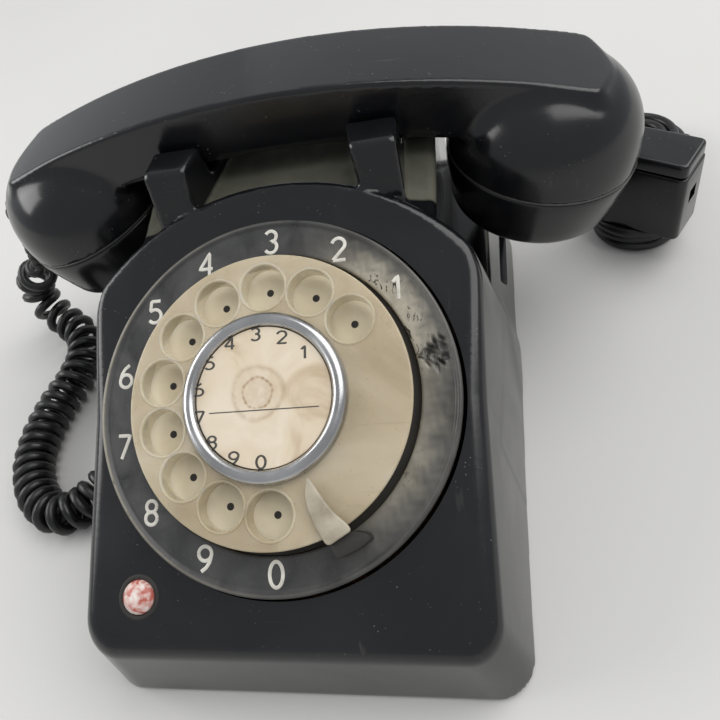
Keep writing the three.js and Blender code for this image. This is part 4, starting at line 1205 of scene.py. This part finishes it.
def all_materials():
    return {
        "black": plastic("black_plastic", (0.0035, 0.0038, 0.0046), (0.0085, 0.0088, 0.0098), 0.13, 0.27,
                         (0.07, 0.068, 0.06), (0.14, 0.135, 0.125)),
        "seam": plastic("seam_plastic", (0.03, 0.03, 0.029), (0.07, 0.068, 0.064), 0.35, 0.5,
                        (0.14, 0.135, 0.125), (0.25, 0.24, 0.22)),
        "ring": ring_look(),
        "ivory": ivory_look("ivory_plastic", (0.4, 0.325, 0.21), (0.53, 0.445, 0.31), (0.64, 0.56, 0.42),
                            0.84),
        # A lighter copy of the ivory for the finger-hole walls: painted light, for the light that shows through
        # and on them.
        "painted_light_ivory_wall": ivory_look("ivory_walls", (0.52, 0.43, 0.28), (0.72, 0.63, 0.46), (0.84, 0.77, 0.61),
                                 0.5),
        "beige": matt("beige_plate", (0.6, 0.52, 0.36), (0.76, 0.69, 0.52), 0.45, 0.65, relief=0.15),
        "stop": matt("stop_grey", (0.3, 0.26, 0.19), (0.5, 0.45, 0.35), 0.3, 0.5, 150, 500, 0.3),
        "chrome": metal("chrome", (0.36, 0.36, 0.36), (0.6, 0.6, 0.6), 0.18, 0.36),
        "card": card_look(),
        "ink": matt("printing_ink", (0.012, 0.011, 0.01), (0.03, 0.027, 0.022), 0.6, 0.8),
        "cream_ink": matt("figure_paint", (0.5, 0.48, 0.42), (0.72, 0.7, 0.63), 0.5, 0.7, 200, 900),
        "clear": clear_look(),
        "button": button_look(),
        "steel": metal("steel", (0.34, 0.34, 0.34), (0.55, 0.55, 0.54), 0.25, 0.5),
        "brass": metal("brass", (0.42, 0.27, 0.08), (0.68, 0.5, 0.2), 0.2, 0.45),
        "copper": metal("copper", (0.4, 0.15, 0.06), (0.6, 0.27, 0.12), 0.3, 0.5, (1, 1, 0.1)),
        "aluminium": metal("aluminium", (0.5, 0.51, 0.52), (0.72, 0.73, 0.74), 0.3, 0.55, (0.1, 1, 1)),
        "phenolic": matt("phenolic", (0.045, 0.022, 0.012), (0.1, 0.052, 0.026), 0.45, 0.65),
        "board": matt("board", (0.16, 0.1, 0.035), (0.26, 0.18, 0.075), 0.4, 0.6),
        "rubber": matt("rubber", (0.008, 0.008, 0.008), (0.022, 0.022, 0.021), 0.5, 0.75, 90, 800, 0.3),
        "cord": matt("cord_pvc", (0.003, 0.003, 0.0032), (0.009, 0.009, 0.009), 0.28, 0.45, 120, 900, 0.15),
        "dial_frame": metal("pressed_steel", (0.25, 0.25, 0.25), (0.4, 0.4, 0.39), 0.35, 0.6),
    }


KEPT_LOOKS = {
    "black_plastic": "black", "ring_plastic": "ring", "ivory_plastic": "ivory", "beige_plate": "beige",
    "stop_grey": "stop", "chrome": "chrome", "card": "card", "clear_cover": "clear", "steel": "steel",
    "brass": "brass", "copper": "copper", "aluminium": "aluminium", "phenolic": "phenolic", "board": "board",
    "rubber": "rubber", "cord_pvc": "cord", "button_red": "button",
}


def add_room():
    """A pale floor under soft light: a window on the left, a wide panel overhead on the right, a far wall."""
    look = Look("floor_paper", roughness=0.75)
    look.base(look.noise(3, 3), (0.3, (0.6, 0.595, 0.575)), (0.7, (0.64, 0.635, 0.615)))
    look.bump(look.noise(350, 4), 0.08, 0.0004)
    size = 1600
    corners = [[-size, -size, 0], [size, -size, 0], [size, size, 0], [-size, size, 0]]
    floor = make("floor", (corners, [(0, 1, 2, 3)]), look.done(), None)
    for name, place, aim, width, depth, power in (
        ("window", (-1.3, 0.05, 0.8), (0, 0, 0.05), 1.1, 0.7, 9.5),
        ("ceiling", (1.0, 0.35, 1.6), (0.2, 0, 0), 1.9, 1.9, 31),
        ("far_wall", (0.25, 1.6, 0.75), (0, 0, 0.1), 1.8, 0.9, 0.8),
    ):
        data = bpy.data.lights.new(name, "AREA")
        data.shape = "RECTANGLE"
        data.size, data.size_y = width, depth
        data.energy = power
        data.color = (1.0, 0.99, 0.98)
        light = bpy.data.objects.new(name, data)
        light.location = place
        light.rotation_euler = (Vector(aim) - Vector(place)).to_track_quat("-Z", "Y").to_euler()
        bpy.context.scene.collection.objects.link(light)
    world = bpy.data.worlds.new("room")
    world.use_nodes = True
    world.node_tree.nodes["Background"].inputs["Color"].default_value = (0.94, 0.96, 1.0, 1)
    world.node_tree.nodes["Background"].inputs["Strength"].default_value = 0.5
    bpy.context.scene.world = world
    bpy.context.scene.view_settings.view_transform = "Standard"


def finish_kept_nodes():
    """Gives the CAD parts that are still shown the look of their material."""
    looks = {part["node"]: KEPT_LOOKS[part["material_slot"]] for part in frame["record"]["subparts"]}
    for name, node in NODES.items():
        node.data.materials.clear()
        node.data.materials.append(MATERIALS[looks[name]])


# ---------- the whole ----------
MATERIALS = all_materials()
add_camera()
add_cords(MATERIALS["cord"], MATERIALS["rubber"])
add_housing(MATERIALS["black"])
add_handset(MATERIALS["black"], MATERIALS["seam"])
add_number_ring(MATERIALS["ring"], MATERIALS["cream_ink"])
add_dial_plate(MATERIALS["beige"], MATERIALS["ink"])
add_finger_wheel(MATERIALS["ivory"], MATERIALS["painted_light_ivory_wall"])
add_hub(MATERIALS["chrome"], MATERIALS["card"], MATERIALS["ink"], MATERIALS["clear"])
add_finger_stop(MATERIALS["stop"], MATERIALS["ink"])
add_recall_button(MATERIALS["button"], MATERIALS["ink"])
add_room()
finish_kept_nodes()
